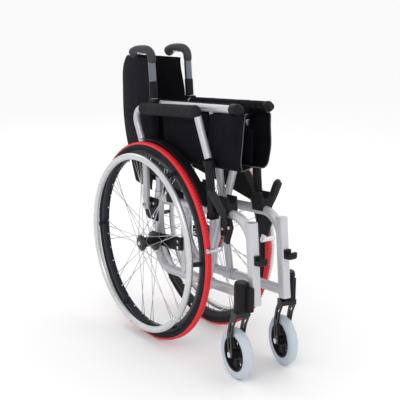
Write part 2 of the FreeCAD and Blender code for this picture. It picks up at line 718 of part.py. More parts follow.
def caster(name, side, yaw):
    """Fork with its stem, wheel bolt, hub and tyre, turned to its trailing direction."""
    turn = FreeCAD.Rotation(V(0, 0, 1), yaw)
    inside, outside = fork_inside.value, fork_inside.value + fork_plate.value
    trail, axle_height = caster_trail.value, caster_radius.value
    foot = housing_foot.value
    route = [(2, foot - 13), (15, foot - 38), (25, foot - 76), (trail, axle_height)]
    crown = Part.makeBox(2 * outside, 34, 13, V(-outside, -15, foot - 13.5))
    crown = crown.makeFillet(4, [edge for edge in crown.Edges if abs(edge.Length - 13) < 1e-6])
    shape = crown.fuse(rod(V(0, 0, foot - 5), V(0, 0, foot + 55), stem_radius.value))
    slots = [[(6, foot - 30), (14.5, foot - 40), (21, foot - 62)], [(24, foot - 84), (trail + 2, axle_height + 17)]]
    for hand in (1, -1):
        leg = chain(hand, inside, outside, route, fork_width.value)
        for slot in slots:
            leg = leg.cut(chain(hand, inside - 1, outside + 1, slot, 7))
        leg = leg.cut(across(hand, inside - 1, outside + 1, trail, axle_height, caster_bolt.value))
        shape = shape.fuse(leg)
    spot = (stem_offset * side, stem_back, 0.0)
    fork = feature(f"{name}_caster_fork", shape)
    fork.Placement = FreeCAD.Placement(fork.Placement.Base, turn)
    place(fork, *spot)

    wheel_spot = turn.multVec(V(0, trail, 0))
    centre = (stem_offset * side + wheel_spot.x, stem_back + wheel_spot.y, caster_radius)
    end = fork_inside + fork_plate
    pin = cylinder(f"{name}_caster_pin", caster_bolt, end * 2, (-end, 0.0, 0.0), X_AXIS)
    heads = [cylinder(f"{name}_caster_head_{tag}", 8, 4, (start, 0.0, 0.0), X_AXIS)
             for tag, start in (("in", end), ("out", -end - 4))]
    bolt = fuse(f"{name}_caster_bolt", [pin] + heads)
    bolt.Placement = FreeCAD.Placement(V(0, 0, 0), turn)
    place(bolt, *centre)
    finish(bolt, f"{name}_caster_bolt")

    body = new_body(f"{name}_caster_hub")
    bore = caster_bolt + running_gap
    turned(body, f"{name}_caster_web", [
        (-16.0, bore), (16.0, bore), (16.0, 12.0), (5.0, 14.0), (5.0, caster_bead - 6), (12.0, caster_bead - 4),
        (12.0, caster_bead), (-12.0, caster_bead), (-12.0, caster_bead - 4), (-5.0, caster_bead - 6),
        (-5.0, 14.0), (-16.0, 12.0)])
    window = polygon_sketch(body, f"{name}_caster_window", "YZ_Plane",
                            [(-7.0, 18.0), (7.0, 18.0), (12.0, 37.0), (0.0, 40.0), (-12.0, 37.0)])
    pocket = body.newObject("PartDesign::Pocket", f"{name}_caster_opening")
    pocket.Profile = window
    pocket.Length = 40
    pocket.Midplane = True
    ring = body.newObject("PartDesign::PolarPattern", f"{name}_caster_openings")
    ring.Originals = [pocket]
    ring.Axis = (origin_plane(body, "X_Axis"), [""])
    ring.Angle = 360
    ring.Occurrences = 5
    body.Tip = ring
    body.Placement = FreeCAD.Placement(V(0, 0, 0), turn)
    place(body, *centre)
    finish(body, f"{name}_caster_hub")

    body = new_body(f"{name}_caster_tyre")
    half = caster_width * 0.5
    turned(body, f"{name}_caster_tread", [
        (-12.0, caster_bead), (12.0, caster_bead), (half, caster_bead + 6), (half, caster_radius - 9),
        (half - 4, caster_radius - 3), (half - 9, caster_radius), (9 - half, caster_radius),
        (4 - half, caster_radius - 3), (-half, caster_radius - 9), (-half, caster_bead + 6)])
    body.Placement = FreeCAD.Placement(V(0, 0, 0), turn)
    place(body, *centre)
    finish(body, f"{name}_caster_tyre")


# ---------------------------------------------------------------- brakes and armrests

def brake(name, side):
    """The lever with its grip, and the shoe bar that bears on the tyre."""
    start = FRAME_FACE + brake_plate.value + 1
    pin = brake_pin.value + running_gap.value
    back, height = brake_pin_back.value, brake_pin_height.value
    boss = across(side, start, start + 6.5, back, height, 10)
    arm = chain(side, start, start + 6.5, [(back, height), (back + 2, height + 22)], 14)
    root = V(side * (start + 6.5), back + 2, height + 20)
    tip = V(side * 116, back + 10, height + 86)
    grip = rod(root, tip, 9).fuse(Part.makeSphere(9, tip))
    lever = boss.fuse(arm).fuse(grip).cut(across(side, start - 2, start + 9, back, height, pin))
    feature(f"{name}_brake_lever", lever)

    shoe_angle = math.radians(171.3)
    reach = wheel_radius.value + shoe_radius.value + 0.4
    shoe_back, shoe_height = reach * math.cos(shoe_angle), wheel_radius.value + reach * math.sin(shoe_angle)
    back, height = shoe_pin_back.value, shoe_pin_height.value
    link = chain(side, start, start + 6.5, [(back, height), (shoe_back, shoe_height)], 13)
    shoe = link.fuse(across(side, start, 118, shoe_back, shoe_height, shoe_radius.value))
    feature(f"{name}_brake_shoe", shoe.cut(across(side, start - 2, start + 9, back, height, pin)))


def armrest(name, side):
    """The bent arm tube on its rear pivot, and the round pad on it."""
    foot = V(side * arm_foot_offset.value, arm_pivot_back.value, arm_pivot_height.value - 13)
    knee = V(side * arm_foot_offset.value, 60, 556)
    rear = V(side * arm_top_offset.value, 114, 687)
    front = V(side * arm_top_offset.value, -210, 714)
    end = V(side * 82, -257.3, 591.7)
    shape = tube([foot, knee, rear, front, end], [120, 34, 26], arm_tube.value, 1.5)
    eye = rod(V(side * (arm_foot_offset.value - 10), arm_pivot_back.value, arm_pivot_height.value),
              V(side * (arm_foot_offset.value + 10), arm_pivot_back.value, arm_pivot_height.value), 8)
    hole = across(side, 60, 100, arm_pivot_back.value, arm_pivot_height.value, 4 + running_gap.value)
    feature(f"{name}_arm_tube", shape.fuse(eye).cut(hole))

    rear_face = V(side * pad_offset.value, 66, 691)
    front_face = V(side * pad_offset.value, -186, 712)
    axis = front_face - rear_face
    oval = Part.Ellipse(V(0, 0, 0), pad_half_height.value, pad_half_width.value).toShape()
    pad = Part.Face(Part.Wire(oval)).extrude(V(0, 0, axis.Length))
    pad = pad.makeFillet(6, [edge for edge in pad.Edges if edge.BoundBox.ZLength < 1e-6])
    pad.Placement = FreeCAD.Placement(rear_face, stand_oval(axis))
    feature(f"{name}_arm_pad", pad.cut(bar([rear, front], [], arm_tube.value)))


def stand_oval(axis):
    """Turn local Z along the axis and local X upwards."""
    forward = V(axis.x, axis.y, axis.z).normalize()
    sideways = forward.cross(V(0, 0, 1)).normalize()
    upwards = sideways.cross(forward)
    matrix = FreeCAD.Matrix(upwards.x, sideways.x, forward.x, 0, upwards.y, sideways.y, forward.y, 0,
                            upwards.z, sideways.z, forward.z, 0, 0, 0, 0, 1)
    return FreeCAD.Placement(matrix).Rotation


# ---------------------------------------------------------------- seat and back

def sleeve(side, back, height, bore):
    """The round eye that turns about a tube of the given radius, and its bore."""
    middle = V(side * FRAME_X, back, height)
    half = ALONG * (sleeve_length.value / 2)
    return rod(middle - half, middle + half, bore + 3.5), rod(middle - half * 2, middle + half * 2, bore + 0.05)


def cross_brace(label, side, foot_back, with_bolt):
    """One brace tube: an eye on the lower tube of its side, its head shaped to the other side's seat rail."""
    head_back = foot_back + brace_lean.value
    foot = V(side * FRAME_X, foot_back, lower_z(foot_back))
    head = V(-side * FRAME_X, head_back, rail_z(head_back))
    run = (head - foot).normalize()
    stem = tube([foot + run * 10, head], [], brace_tube.value, tube_wall.value)
    foot_eye, foot_bore = sleeve(side, foot_back, foot.z, frame_tube.value)
    saddle = rod(head - ALONG * 40, head + ALONG * 40, rail_tube.value + weld_gap.value)
    shape = stem.fuse(foot_eye).cut(foot_bore).cut(saddle)
    middle = (foot + head) * 0.5
    if with_bolt:
        shape = shape.fuse(rod(middle - ALONG * 14, middle + ALONG * 41, 5))
    else:
        boss = rod(middle - ALONG * 12, middle + ALONG * 12, 9).common(bar([foot, head], [], brace_tube.value))
        shape = shape.fuse(boss).cut(rod(middle - ALONG * 30, middle + ALONG * 30, 5 + running_gap.value))
    feature(label, shape)


def seat_rail(name, side):
    """The seat rail on the head of its brace, which drops into the saddles of its side."""
    ends = [V(side * FRAME_X, back, rail_z(back)) for back in (rail_rear.value, rail_front.value)]
    feature(f"{name}_seat_rail", tube(ends, [], rail_tube.value, tube_wall.value))


def slab(corner, long_way, deep_way, thick_way):
    """A flat solid spanned by three directions from its corner."""
    outline = [corner, corner + long_way, corner + long_way + deep_way, corner + deep_way]
    return Part.Face(Part.makePolygon(outline + outline[:1])).extrude(thick_way)


def seat_panels():
    """The seat cloth as two side panels that hang from the rails and a middle strip."""
    half = panel_thick.value / 2
    length = (panel_rear.value - panel_front.value) / -ALONG.y
    for name, side in SIDES.items():
        axis = V(side * FRAME_X, panel_rear.value, rail_z(panel_rear.value))
        down = UP * -math.cos(FOLD) + V(-side * math.sin(FOLD), 0, 0)
        inward = UP * math.sin(FOLD) + V(-side * math.cos(FOLD), 0, 0)
        corner = axis + inward * (panel_offset.value - half) + down * panel_start.value
        reach = down * (panel_reach.value - panel_start.value)
        feature(f"{name}_seat_panel", slab(corner, ALONG * length, reach, inward * (2 * half)))
    axis = V(FRAME_X, panel_rear.value, rail_z(panel_rear.value))
    down = UP * -math.cos(FOLD) + V(-math.sin(FOLD), 0, 0)
    inward = UP * math.sin(FOLD) + V(-math.cos(FOLD), 0, 0)
    hinge = axis + inward * (panel_offset.value + half + 0.15) + down * panel_reach.value
    opened = brace_length.value * math.sin(math.radians(open_angle.value)) - 2 * panel_reach.value
    corner = hinge + V(-2 * half - 0.15, 0, 0) + UP * 1
    feature("middle_seat_strip", slab(corner, ALONG * length, UP * (opened - 8), V(2 * half, 0, 0)))


def back_panel(name, side):
    """Half of the back cloth, folded rearwards from its tube."""
    body = new_body(f"{name}_back_panel")
    points = [(30.0, back_foot), (150.0, back_foot), (172.0, back_foot + 50), (196.0, back_foot + 120),
              (back_reach - 4, back_foot + 190), (back_reach, back_foot + 270), (back_reach, back_top - 60),
              (back_reach - 12, back_top - 18), (back_reach - 30, back_top), (34.0, back_top),
              (21.0, back_top - 104), (21.0, back_top - 142), (16.0, back_top - 154), (16.0, back_foot + 140),
              (30.0, back_foot + 70)]
    padded(body, f"{name}_back_sheet", points, side, panel_thick * -0.5, panel_thick)
    body.Placement = FreeCAD.Placement(V(0, 0, 0), FreeCAD.Rotation(V(0, 0, 1), side * back_angle.value))
    place(body, cane_offset * side, cane_back, 0.0)
    finish(body, f"{name}_back_panel")


def back_tube(name, side):
    """The back tube that ends in the push handle, and the handle's grip."""
    offset = side * cane_offset.value
    back = cane_back.value
    points = [V(side * FRAME_X, rear_post.value, rear_post_top.value + 0.3), V(side * FRAME_X, rear_post.value, 486),
              V(offset, back, 560), V(offset, back, 722), V(offset, back + 13, 848), V(offset, 72, 862),
              V(offset, 152, 852)]
    bends = [120, 120, 120, 8, 22]
    feature(f"{name}_back_tube", tube(points, bends, cane_tube.value, 1.5))
    lean = (points[4] - points[3]).normalize()
    grip_points = [points[4] - lean * 22, points[4], points[5], points[6] + (points[6] - points[5]).normalize() * 9]
    hollow = bar(points, bends, cane_tube.value)
    feature(f"{name}_push_grip", bar(grip_points, [8, 22], grip_radius.value).cut(hollow))


# ---------------------------------------------------------------- the chair

SADDLE_MIDDLES = {"left": (-326, -52), "right": (-308, -52)}
CASTER_YAW = {"left": -13, "right": -7}

for name, side in SIDES.items():
    side_frame(name, side)
    axle_bracket(name, side)
    seat_saddle(name, side, SADDLE_MIDDLES[name])
    caster_housing(name, side)
    footrest_receiver(name, side)
    post_brackets(name, side)
    side_guard(name, side)
    brake_bracket(name, side)
    frame_bolts(name, side)
    rear_wheel(name, side)
    caster(name, side, CASTER_YAW[name])
    brake(name, side)
    armrest(name, side)
    seat_rail(name, side)
    back_tube(name, side)
    back_panel(name, side)
seat_panels()
cross_brace("rear_cross_brace", 1, brace_foot_back.value, True)
cross_brace("front_cross_brace", -1, brace_foot_back.value + brace_step.value, False)

doc.recompute()
failed = [thing.Label for thing in doc.Objects if {"Invalid", "Error"} & set(thing.State)]
if failed:
    raise RuntimeError(f"these objects failed: {failed}")
os.makedirs("parts", exist_ok=True)
for thing in subparts:
    shape = thing.Shape
    if shape.isNull() or not shape.isValid() or shape.Volume <= 0:
        raise RuntimeError(f"{thing.Label} has no valid shape")
    shape.exportStep(f"parts/{thing.Label}.step")
box = FreeCAD.BoundBox()
for thing in subparts:
    box.add(thing.Shape.BoundBox)
print(f"{len(subparts)} sub-parts, box {box}")
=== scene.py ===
"""A manual wheelchair, standing folded: finishes, tyres, spokes, grips and cloth around its CAD frame.

Metres throughout. +X is the sitter's left, -Y the front and +Z up.
"""
import enum
import json
import logging
import math
from collections.abc import Callable, Sequence
from dataclasses import dataclass

import bmesh
import bpy
from mathutils import Matrix, Vector, noise


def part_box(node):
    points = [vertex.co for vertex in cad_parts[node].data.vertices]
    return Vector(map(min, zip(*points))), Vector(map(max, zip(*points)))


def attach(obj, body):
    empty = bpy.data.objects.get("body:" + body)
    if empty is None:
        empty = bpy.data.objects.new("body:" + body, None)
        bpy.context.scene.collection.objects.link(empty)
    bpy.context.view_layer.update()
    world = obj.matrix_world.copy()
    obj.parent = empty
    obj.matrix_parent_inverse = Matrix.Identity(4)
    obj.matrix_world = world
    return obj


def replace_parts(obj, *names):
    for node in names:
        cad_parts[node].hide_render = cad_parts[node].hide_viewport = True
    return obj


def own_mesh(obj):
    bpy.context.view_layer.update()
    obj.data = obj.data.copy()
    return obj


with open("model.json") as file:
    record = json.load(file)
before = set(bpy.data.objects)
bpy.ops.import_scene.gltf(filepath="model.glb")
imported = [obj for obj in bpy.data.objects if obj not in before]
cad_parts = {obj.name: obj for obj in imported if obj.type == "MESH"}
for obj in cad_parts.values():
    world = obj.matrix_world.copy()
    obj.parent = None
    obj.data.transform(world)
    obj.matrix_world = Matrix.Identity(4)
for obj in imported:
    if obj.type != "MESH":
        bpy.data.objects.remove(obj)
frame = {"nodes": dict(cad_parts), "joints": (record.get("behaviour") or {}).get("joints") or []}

LOG = logging.getLogger("wheelchair")
SIDES = {"left": 1, "right": -1}
MM = 0.001
Point = tuple[float, float]


# ---------------------------------------------------------------- finishes

class Surface(enum.Enum):
    """The fine relief of a finish."""

    PAINT = "paint"
    MOULDED = "moulded"
    RUBBER = "rubber"
    METAL = "metal"
    CLOTH = "cloth"
    FOAM = "foam"


@dataclass(frozen=True)
class Finish:
    """One finish: two shades that a slow pattern mixes, its gloss and its fine relief."""

    name: str
    slot: str
    colour: tuple[float, float, float]
    shade: tuple[float, float, float]
    roughness: float
    surface: Surface
    metallic: float = 0.0
    specular: float = 0.5
    coat: float = 0.0
    relief: float = 0.15

    def material(self) -> bpy.types.Material:
        """The finish's material, made once.

        Returns:
            The material, with its colour, gloss and bump from procedural textures.
        """
        known = bpy.data.materials.get(self.name)
        if known:
            return known
        made = bpy.data.materials.new(self.name)
        made.use_nodes = True
        graph = Graph(made.node_tree)
        shader = made.node_tree.nodes["Principled BSDF"]
        shader.inputs["Metallic"].default_value = self.metallic
        shader.inputs["Specular IOR Level"].default_value = self.specular
        shader.inputs["Coat Weight"].default_value = self.coat
        shader.inputs["Coat Roughness"].default_value = 0.12
        place = graph.node("ShaderNodeTexCoord").outputs["Object"]
        clouds = graph.noise(place, 14.0, 3.0)
        specks = graph.noise(place, 420.0, 2.0)
        blend = graph.node("ShaderNodeMix", data_type="RGBA")
        graph.feed(blend.inputs["Factor"], graph.sum("MULTIPLY", clouds, graph.sum("ADD", specks, 0.4)))
        blend.inputs[6].default_value = (*self.colour, 1)
        blend.inputs[7].default_value = (*self.shade, 1)
        graph.feed(shader.inputs["Base Color"], blend.outputs[2])
        spread = graph.sum("MULTIPLY", graph.sum("SUBTRACT", graph.noise(place, 60.0, 4.0), 0.5), 0.22)
        graph.feed(shader.inputs["Roughness"], graph.sum("ADD", spread, self.roughness))
        bump = graph.node("ShaderNodeBump")
        bump.inputs["Strength"].default_value = self.relief
        bump.inputs["Distance"].default_value = 0.6 * MM
        graph.feed(bump.inputs["Height"], self._height(graph, place))
        graph.feed(shader.inputs["Normal"], bump.outputs["Normal"])
        return made

    def _height(self, graph: "Graph", place: bpy.types.NodeSocket) -> bpy.types.NodeSocket:
        """The relief's height over the surface.

        Args:
            graph: The material's tree.
            place: The object coordinates.

        Returns:
            The socket that gives the height, about 0 to 1.
        """
        if self.surface is Surface.CLOTH:
            warp = graph.weave(place, "Y", 210.0)
            weft = graph.weave(place, "Z", 210.0)
            slack = graph.sum("MULTIPLY", graph.noise(place, 26.0, 4.0), 1.8)
            return graph.sum("ADD", graph.sum("MULTIPLY", warp, weft), slack)
        if self.surface is Surface.METAL:
            stretch = graph.node("ShaderNodeMapping")
            stretch.inputs["Scale"].default_value = (60.0, 900.0, 900.0)
            graph.feed(stretch.inputs["Vector"], place)
            return graph.noise(stretch.outputs["Vector"], 1.0, 3.0)
        scales = {Surface.PAINT: 380.0, Surface.MOULDED: 900.0, Surface.RUBBER: 1300.0, Surface.FOAM: 700.0}
        fine = graph.noise(place, scales[self.surface], 2.0)
        if self.surface is Surface.FOAM:
            return graph.sum("ADD", fine, graph.noise(place, 70.0, 3.0))
        return fine


class Graph:
    """A node tree with short calls for adding nodes, sums and links."""

    def __init__(self, tree: bpy.types.NodeTree) -> None:
        """Keep the tree that the calls add to."""
        self.tree = tree

    def node(self, kind: str, **settings: object) -> bpy.types.Node:
        """Add one node and set its properties.

        Args:
            kind: Blender's name for the node's type.
            **settings: The node's own properties.

        Returns:
            The new node.
        """
        made = self.tree.nodes.new(kind)
        for key, value in settings.items():
            setattr(made, key, value)
        return made

    def feed(self, socket: bpy.types.NodeSocket, source: object) -> None:
        """Link a socket to another, or set it to a plain value."""
        if isinstance(source, bpy.types.NodeSocket):
            self.tree.links.new(source, socket)
        else:
            socket.default_value = source

    def sum(self, kind: str, first: object, second: object = 0.0) -> bpy.types.NodeSocket:
        """One step of arithmetic on two sockets or numbers, and its result."""
        step = self.node("ShaderNodeMath", operation=kind)
        self.feed(step.inputs[0], first)
        self.feed(step.inputs[1], second)
        return step.outputs[0]

    def point(self, x: object, y: object, z: object) -> bpy.types.NodeSocket:
        """A vector from three sockets or numbers."""
        made = self.node("ShaderNodeCombineXYZ")
        for socket, value in zip(made.inputs, (x, y, z)):
            self.feed(socket, value)
        return made.outputs[0]

    def noise(self, place: bpy.types.NodeSocket, scale: float, detail: float) -> bpy.types.NodeSocket:
        """Smooth noise over the coordinates, as a number."""
        made = self.node("ShaderNodeTexNoise")
        made.inputs["Scale"].default_value = scale
        made.inputs["Detail"].default_value = detail
        self.feed(made.inputs["Vector"], place)
        return made.outputs[0]

    def weave(self, place: bpy.types.NodeSocket, axis: str, scale: float) -> bpy.types.NodeSocket:
        """The ridges of one set of threads, across the given axis."""
        made = self.node("ShaderNodeTexWave", bands_direction=axis)
        made.inputs["Scale"].default_value = scale
        made.inputs["Distortion"].default_value = 0.6
        self.feed(made.inputs["Vector"], place)
        return made.outputs["Fac"]


SILVER = Finish("silver_powder_coat", "frame_silver", (0.5, 0.5, 0.54), (0.58, 0.58, 0.62), 0.32,
                Surface.PAINT, metallic=0.45, coat=0.15)
BLACK_METAL = Finish("satin_black_metal", "black_metal", (0.006, 0.006, 0.008), (0.014, 0.014, 0.017), 0.36,
                     Surface.PAINT, specular=0.16)
BLACK_PLASTIC = Finish("moulded_black", "black_plastic", (0.006, 0.006, 0.008), (0.013, 0.013, 0.016), 0.42,
                       Surface.MOULDED, specular=0.14)
GUNMETAL = Finish("cane_gunmetal", "frame_silver", (0.13, 0.14, 0.16), (0.2, 0.21, 0.24), 0.22,
                  Surface.METAL, metallic=0.85, relief=0.06)
GUARD = Finish("guard_black", "guard_plastic", (0.005, 0.005, 0.007), (0.011, 0.011, 0.014), 0.38,
               Surface.MOULDED, specular=0.14)
STEEL = Finish("bright_steel", "bolt_steel", (0.66, 0.66, 0.68), (0.78, 0.78, 0.8), 0.24,
               Surface.METAL, metallic=0.95, relief=0.06)
SPOKE_STEEL = Finish("spoke_wire", "bolt_steel", (0.5, 0.5, 0.52), (0.66, 0.66, 0.68), 0.3,
                     Surface.METAL, metallic=0.8, relief=0.04)
GRIP = Finish("grip_rubber_grey", "grip_rubber", (0.026, 0.026, 0.03), (0.05, 0.05, 0.056), 0.62,
              Surface.RUBBER, specular=0.3, relief=0.3)
TREAD = Finish("tread_red", "tyre_red", (0.66, 0.006, 0.014), (0.78, 0.01, 0.022), 0.5,
               Surface.RUBBER, relief=0.2)
SIDEWALL = Finish("sidewall_black", "tyre_red", (0.006, 0.006, 0.008), (0.014, 0.014, 0.017), 0.55,
                  Surface.RUBBER, specular=0.12, relief=0.25)
RIM = Finish("rim_blue_black", "rim_black", (0.011, 0.013, 0.02), (0.022, 0.026, 0.036), 0.34,
             Surface.PAINT, specular=0.16)
HANDRIM = Finish("handrim_satin", "handrim_silver", (0.56, 0.57, 0.58), (0.68, 0.69, 0.7), 0.3,
                 Surface.METAL, metallic=0.7, relief=0.05)
HUB = Finish("hub_gloss_black", "hub_black", (0.008, 0.008, 0.01), (0.016, 0.016, 0.02), 0.2,
             Surface.PAINT, specular=0.2, coat=0.2, relief=0.05)
FORK = Finish("fork_gloss_black", "fork_black", (0.008, 0.008, 0.01), (0.018, 0.018, 0.022), 0.22,
              Surface.PAINT, specular=0.2, coat=0.2, relief=0.05)
CASTER = Finish("caster_pale_grey", "caster_grey", (0.44, 0.5, 0.56), (0.52, 0.58, 0.64), 0.38,
                Surface.RUBBER, coat=0.15, relief=0.12)
LEVER = Finish("lever_dark_grey", "lever_black", (0.014, 0.014, 0.017), (0.026, 0.026, 0.03), 0.5,
               Surface.MOULDED, specular=0.18, relief=0.2)
FOAM = Finish("pad_foam_black", "pad_foam", (0.012, 0.011, 0.014), (0.024, 0.022, 0.027), 0.72,
              Surface.FOAM, specular=0.12, relief=0.45)
SEAT_CLOTH = Finish("seat_nylon", "seat_cloth", (0.0035, 0.0035, 0.006), (0.009, 0.0085, 0.013), 0.72,
                    Surface.CLOTH, specular=0.07, relief=0.6)
BACK_CLOTH = Finish("back_nylon", "back_cloth", (0.004, 0.004, 0.007), (0.01, 0.009, 0.014), 0.74,
                    Surface.CLOTH, specular=0.07, relief=0.6)
PIPING = Finish("edge_piping", "seat_cloth", (0.05, 0.05, 0.056), (0.085, 0.085, 0.092), 0.55,
                Surface.CLOTH, specular=0.35, relief=0.3)

NODE_FINISHES: dict[str, Finish] = {
    "side_frame": SILVER, "back_tube": SILVER, "arm_tube": SILVER, "seat_rail": SILVER,
    "axle_bracket": BLACK_METAL, "post_brackets": BLACK_METAL, "brake_bracket": BLACK_METAL,
    "seat_saddles": BLACK_PLASTIC, "caster_housing": BLACK_PLASTIC, "footrest_receiver": BLACK_PLASTIC,
    "caster_hub": BLACK_PLASTIC, "side_guard": GUARD, "frame_bolts": STEEL, "axle": STEEL,
    "release_button": STEEL, "caster_bolt": STEEL, "brake_shoe": STEEL, "rim": RIM, "handrim": HANDRIM,
    "hub": HUB, "caster_fork": FORK, "brake_lever": LEVER,
}


# ---------------------------------------------------------------- meshes

def new_piece(name: str, mesh: bpy.types.Mesh, finishes: Sequence[Finish]) -> bpy.types.Object:
    """Link a mesh as a smooth-shaded piece with its finishes.

    Args:
        name: The piece's name.
        mesh: Its mesh, in the chair's own place.
        finishes: One finish for each material slot.

    Returns:
        The new object.
    """
    if mesh.materials:  # clearing also resets the faces' slot numbers, which revolve sets
        mesh.materials.clear()
    for finish in finishes:
        mesh.materials.append(finish.material())
    mesh.polygons.foreach_set("use_smooth", [True] * len(mesh.polygons))
    piece = bpy.data.objects.new(name, mesh)
    bpy.context.scene.collection.objects.link(piece)
    return piece


def close_mesh(name: str, work: bmesh.types.BMesh) -> bpy.types.Mesh:
    """Merge a closed mesh's doubles, point its faces outwards and store it."""
    bmesh.ops.remove_doubles(work, verts=work.verts, dist=1e-6)
    bmesh.ops.recalc_face_normals(work, faces=work.faces)
    mesh = bpy.data.meshes.new(name)
    work.to_mesh(mesh)
    work.free()
    return mesh


def joint(name: str) -> dict:
    """The frame's joint of this name.

    Args:
        name: The joint's name.

    Returns:
        Its row in the frame.
    """
    return next(row for row in frame["joints"] if row["name"] == name)


def stand(spot: Vector, axis: Vector) -> Matrix:
    """A frame at a spot, its X axis turned to an axis.

    Args:
        spot: Its origin.
        axis: The unit vector for X.

    Returns:
        The frame as a matrix.
    """
    return Matrix.Translation(spot) @ Vector((1, 0, 0)).rotation_difference(axis).to_matrix().to_4x4()


def revolve(name: str, profile: Sequence[Point], place: Matrix, steps: int,
            zone: Callable[[float], int] = lambda radius: 0) -> bpy.types.Mesh:
    """Turn a closed profile about the local X axis.

    Args:
        name: The mesh's name.
        profile: Corners as (distance along the axis, radius).
        place: Where the local frame stands in the chair.
        steps: Divisions round the turn.
        zone: The material slot of a face, from its radius.

    Returns:
        The closed mesh.
    """
    work = bmesh.new()
    rings = []
    for step in range(steps):
        angle = 2 * math.pi * step / steps
        ring = [Vector((along, radius * math.cos(angle), radius * math.sin(angle)))
                for along, radius in profile]
        rings.append([work.verts.new(place @ corner) for corner in ring])
    for step in range(steps):
        here, there = rings[step], rings[(step + 1) % steps]
        for index in range(len(profile)):
            after = (index + 1) % len(profile)
            face = work.faces.new((here[index], here[after], there[after], there[index]))
            face.material_index = zone((profile[index][1] + profile[after][1]) / 2)
    return close_mesh(name, work)


def flow(points: Sequence[Vector], count: int) -> list[Vector]:
    """Evenly spaced points on a smooth curve through the given points.

    Args:
        points: The points to pass through.
        count: How many points to return.

    Returns:
        The points, the first and last as given.
    """
    ends = [points[0] * 2 - points[1], *points, points[-1] * 2 - points[-2]]
    fine = [points[0]]
    for a, b, c, d in zip(ends, ends[1:], ends[2:], ends[3:]):
        for step in range(1, 9):
            t = step / 8
            fine.append(0.5 * (2 * b + (c - a) * t + (2 * a - 5 * b + 4 * c - d) * t * t
                               + (3 * b - a - 3 * c + d) * t ** 3))
    lengths = [0.0]
    for a, b in zip(fine, fine[1:]):
        lengths.append(lengths[-1] + (b - a).length)
    result, index = [], 0
    for step in range(count):
        goal = lengths[-1] * step / (count - 1)
        while index < len(fine) - 2 and lengths[index + 1] < goal:
            index += 1
        span = max(lengths[index + 1] - lengths[index], 1e-12)
        result.append(fine[index].lerp(fine[index + 1], min(1.0, (goal - lengths[index]) / span)))
    return result


def sweep(name: str, path: Sequence[Vector], section: Callable[[float], Sequence[Point]],
          up: Vector = Vector((0, 0, 1))) -> bpy.types.Mesh:
    """Carry a section along a path, with closed ends.

    Args:
        name: The mesh's name.
        path: The centreline.
        section: The outline at a share of the way, as (sideways, upwards) points.
        up: The direction that the section's upwards keeps near.

    Returns:
        The closed mesh.
    """
    work = bmesh.new()
    rings = []
    for index, spot in enumerate(path):
        ahead = path[min(index + 1, len(path) - 1)] - path[max(index - 1, 0)]
        sideways = ahead.cross(up).normalized()
        top = sideways.cross(ahead).normalized()
        share = index / (len(path) - 1)
        rings.append([work.verts.new(spot + sideways * a + top * b) for a, b in section(share)])
    for here, there in zip(rings, rings[1:]):
        for index in range(len(here)):
            after = (index + 1) % len(here)
            work.faces.new((here[index], here[after], there[after], there[index]))
    for ring, spot in ((rings[0], path[0]), (rings[-1], path[-1])):
        pole = work.verts.new(spot)
        for index in range(len(ring)):
            work.faces.new((ring[index], ring[(index + 1) % len(ring)], pole))
    return close_mesh(name, work)


def oval(wide: float, tall: float, points: int = 24, square: float = 2.0) -> list[Point]:
    """An oval outline; a square power over 2 gives it flatter sides.

    Args:
        wide: Half its width.
        tall: Half its height.
        points: Corners in the outline.
        square: The power of the superellipse.

    Returns:
        The corners.
    """
    outline = []
    for step in range(points):
        turn = 2 * math.pi * step / points
        c, s = math.cos(turn), math.sin(turn)
        outline.append((wide * math.copysign(abs(c) ** (2 / square), c),
                        tall * math.copysign(abs(s) ** (2 / square), s)))
    return outline


def ease(value: float, low: float, high: float) -> float:
    """0 below low, 1 above high and a smooth step between; low may be the greater."""
    share = min(1.0, max(0.0, (value - low) / (high - low)))
    return share * share * (3 - 2 * share)


def grid(name: str, rows: Sequence[Sequence[Vector]], outward: Vector) -> bpy.types.Mesh:
    """An open sheet over rows of points, with its faces on the outward side."""
    work = bmesh.new()
    verts = [[work.verts.new(point) for point in row] for row in rows]
    for here, there in zip(verts, verts[1:]):
        for a, b, c, d in zip(here, here[1:], there[1:], there):
            work.faces.new((a, b, c, d))
    work.normal_update()
    if sum((face.normal for face in work.faces), Vector()).dot(outward) < 0:
        bmesh.ops.reverse_faces(work, faces=work.faces)
    mesh = bpy.data.meshes.new(name)
    work.to_mesh(mesh)
    work.free()
    return mesh


def thicken(piece: bpy.types.Object, thickness: float) -> None:
    """Give a sheet its two faces and closed edges, then round them."""
    solid = piece.modifiers.new("thickness", "SOLIDIFY")
    solid.thickness = thickness
    solid.offset = 0
    rounded = piece.modifiers.new("rounding", "SUBSURF")
    rounded.levels = rounded.render_levels = 1


# ---------------------------------------------------------------- repeated pieces

def new_tree(name: str, inputs: dict[str, str]) -> tuple[Graph, bpy.types.Node, bpy.types.Node]:
    """A geometry tree with named inputs.

    Args:
        name: The tree's name.
        inputs: Each input's name and socket type.

    Returns:
        The graph, its input node and its output node.
    """
    tree = bpy.data.node_groups.new(name, "GeometryNodeTree")
    for label, kind in inputs.items():
        tree.interface.new_socket(label, in_out="INPUT", socket_type=kind)
    tree.interface.new_socket("Material", in_out="INPUT", socket_type="NodeSocketMaterial")
    tree.interface.new_socket("Geometry", in_out="OUTPUT", socket_type="NodeSocketGeometry")
    graph = Graph(tree)
    return graph, graph.node("NodeGroupInput"), graph.node("NodeGroupOutput")


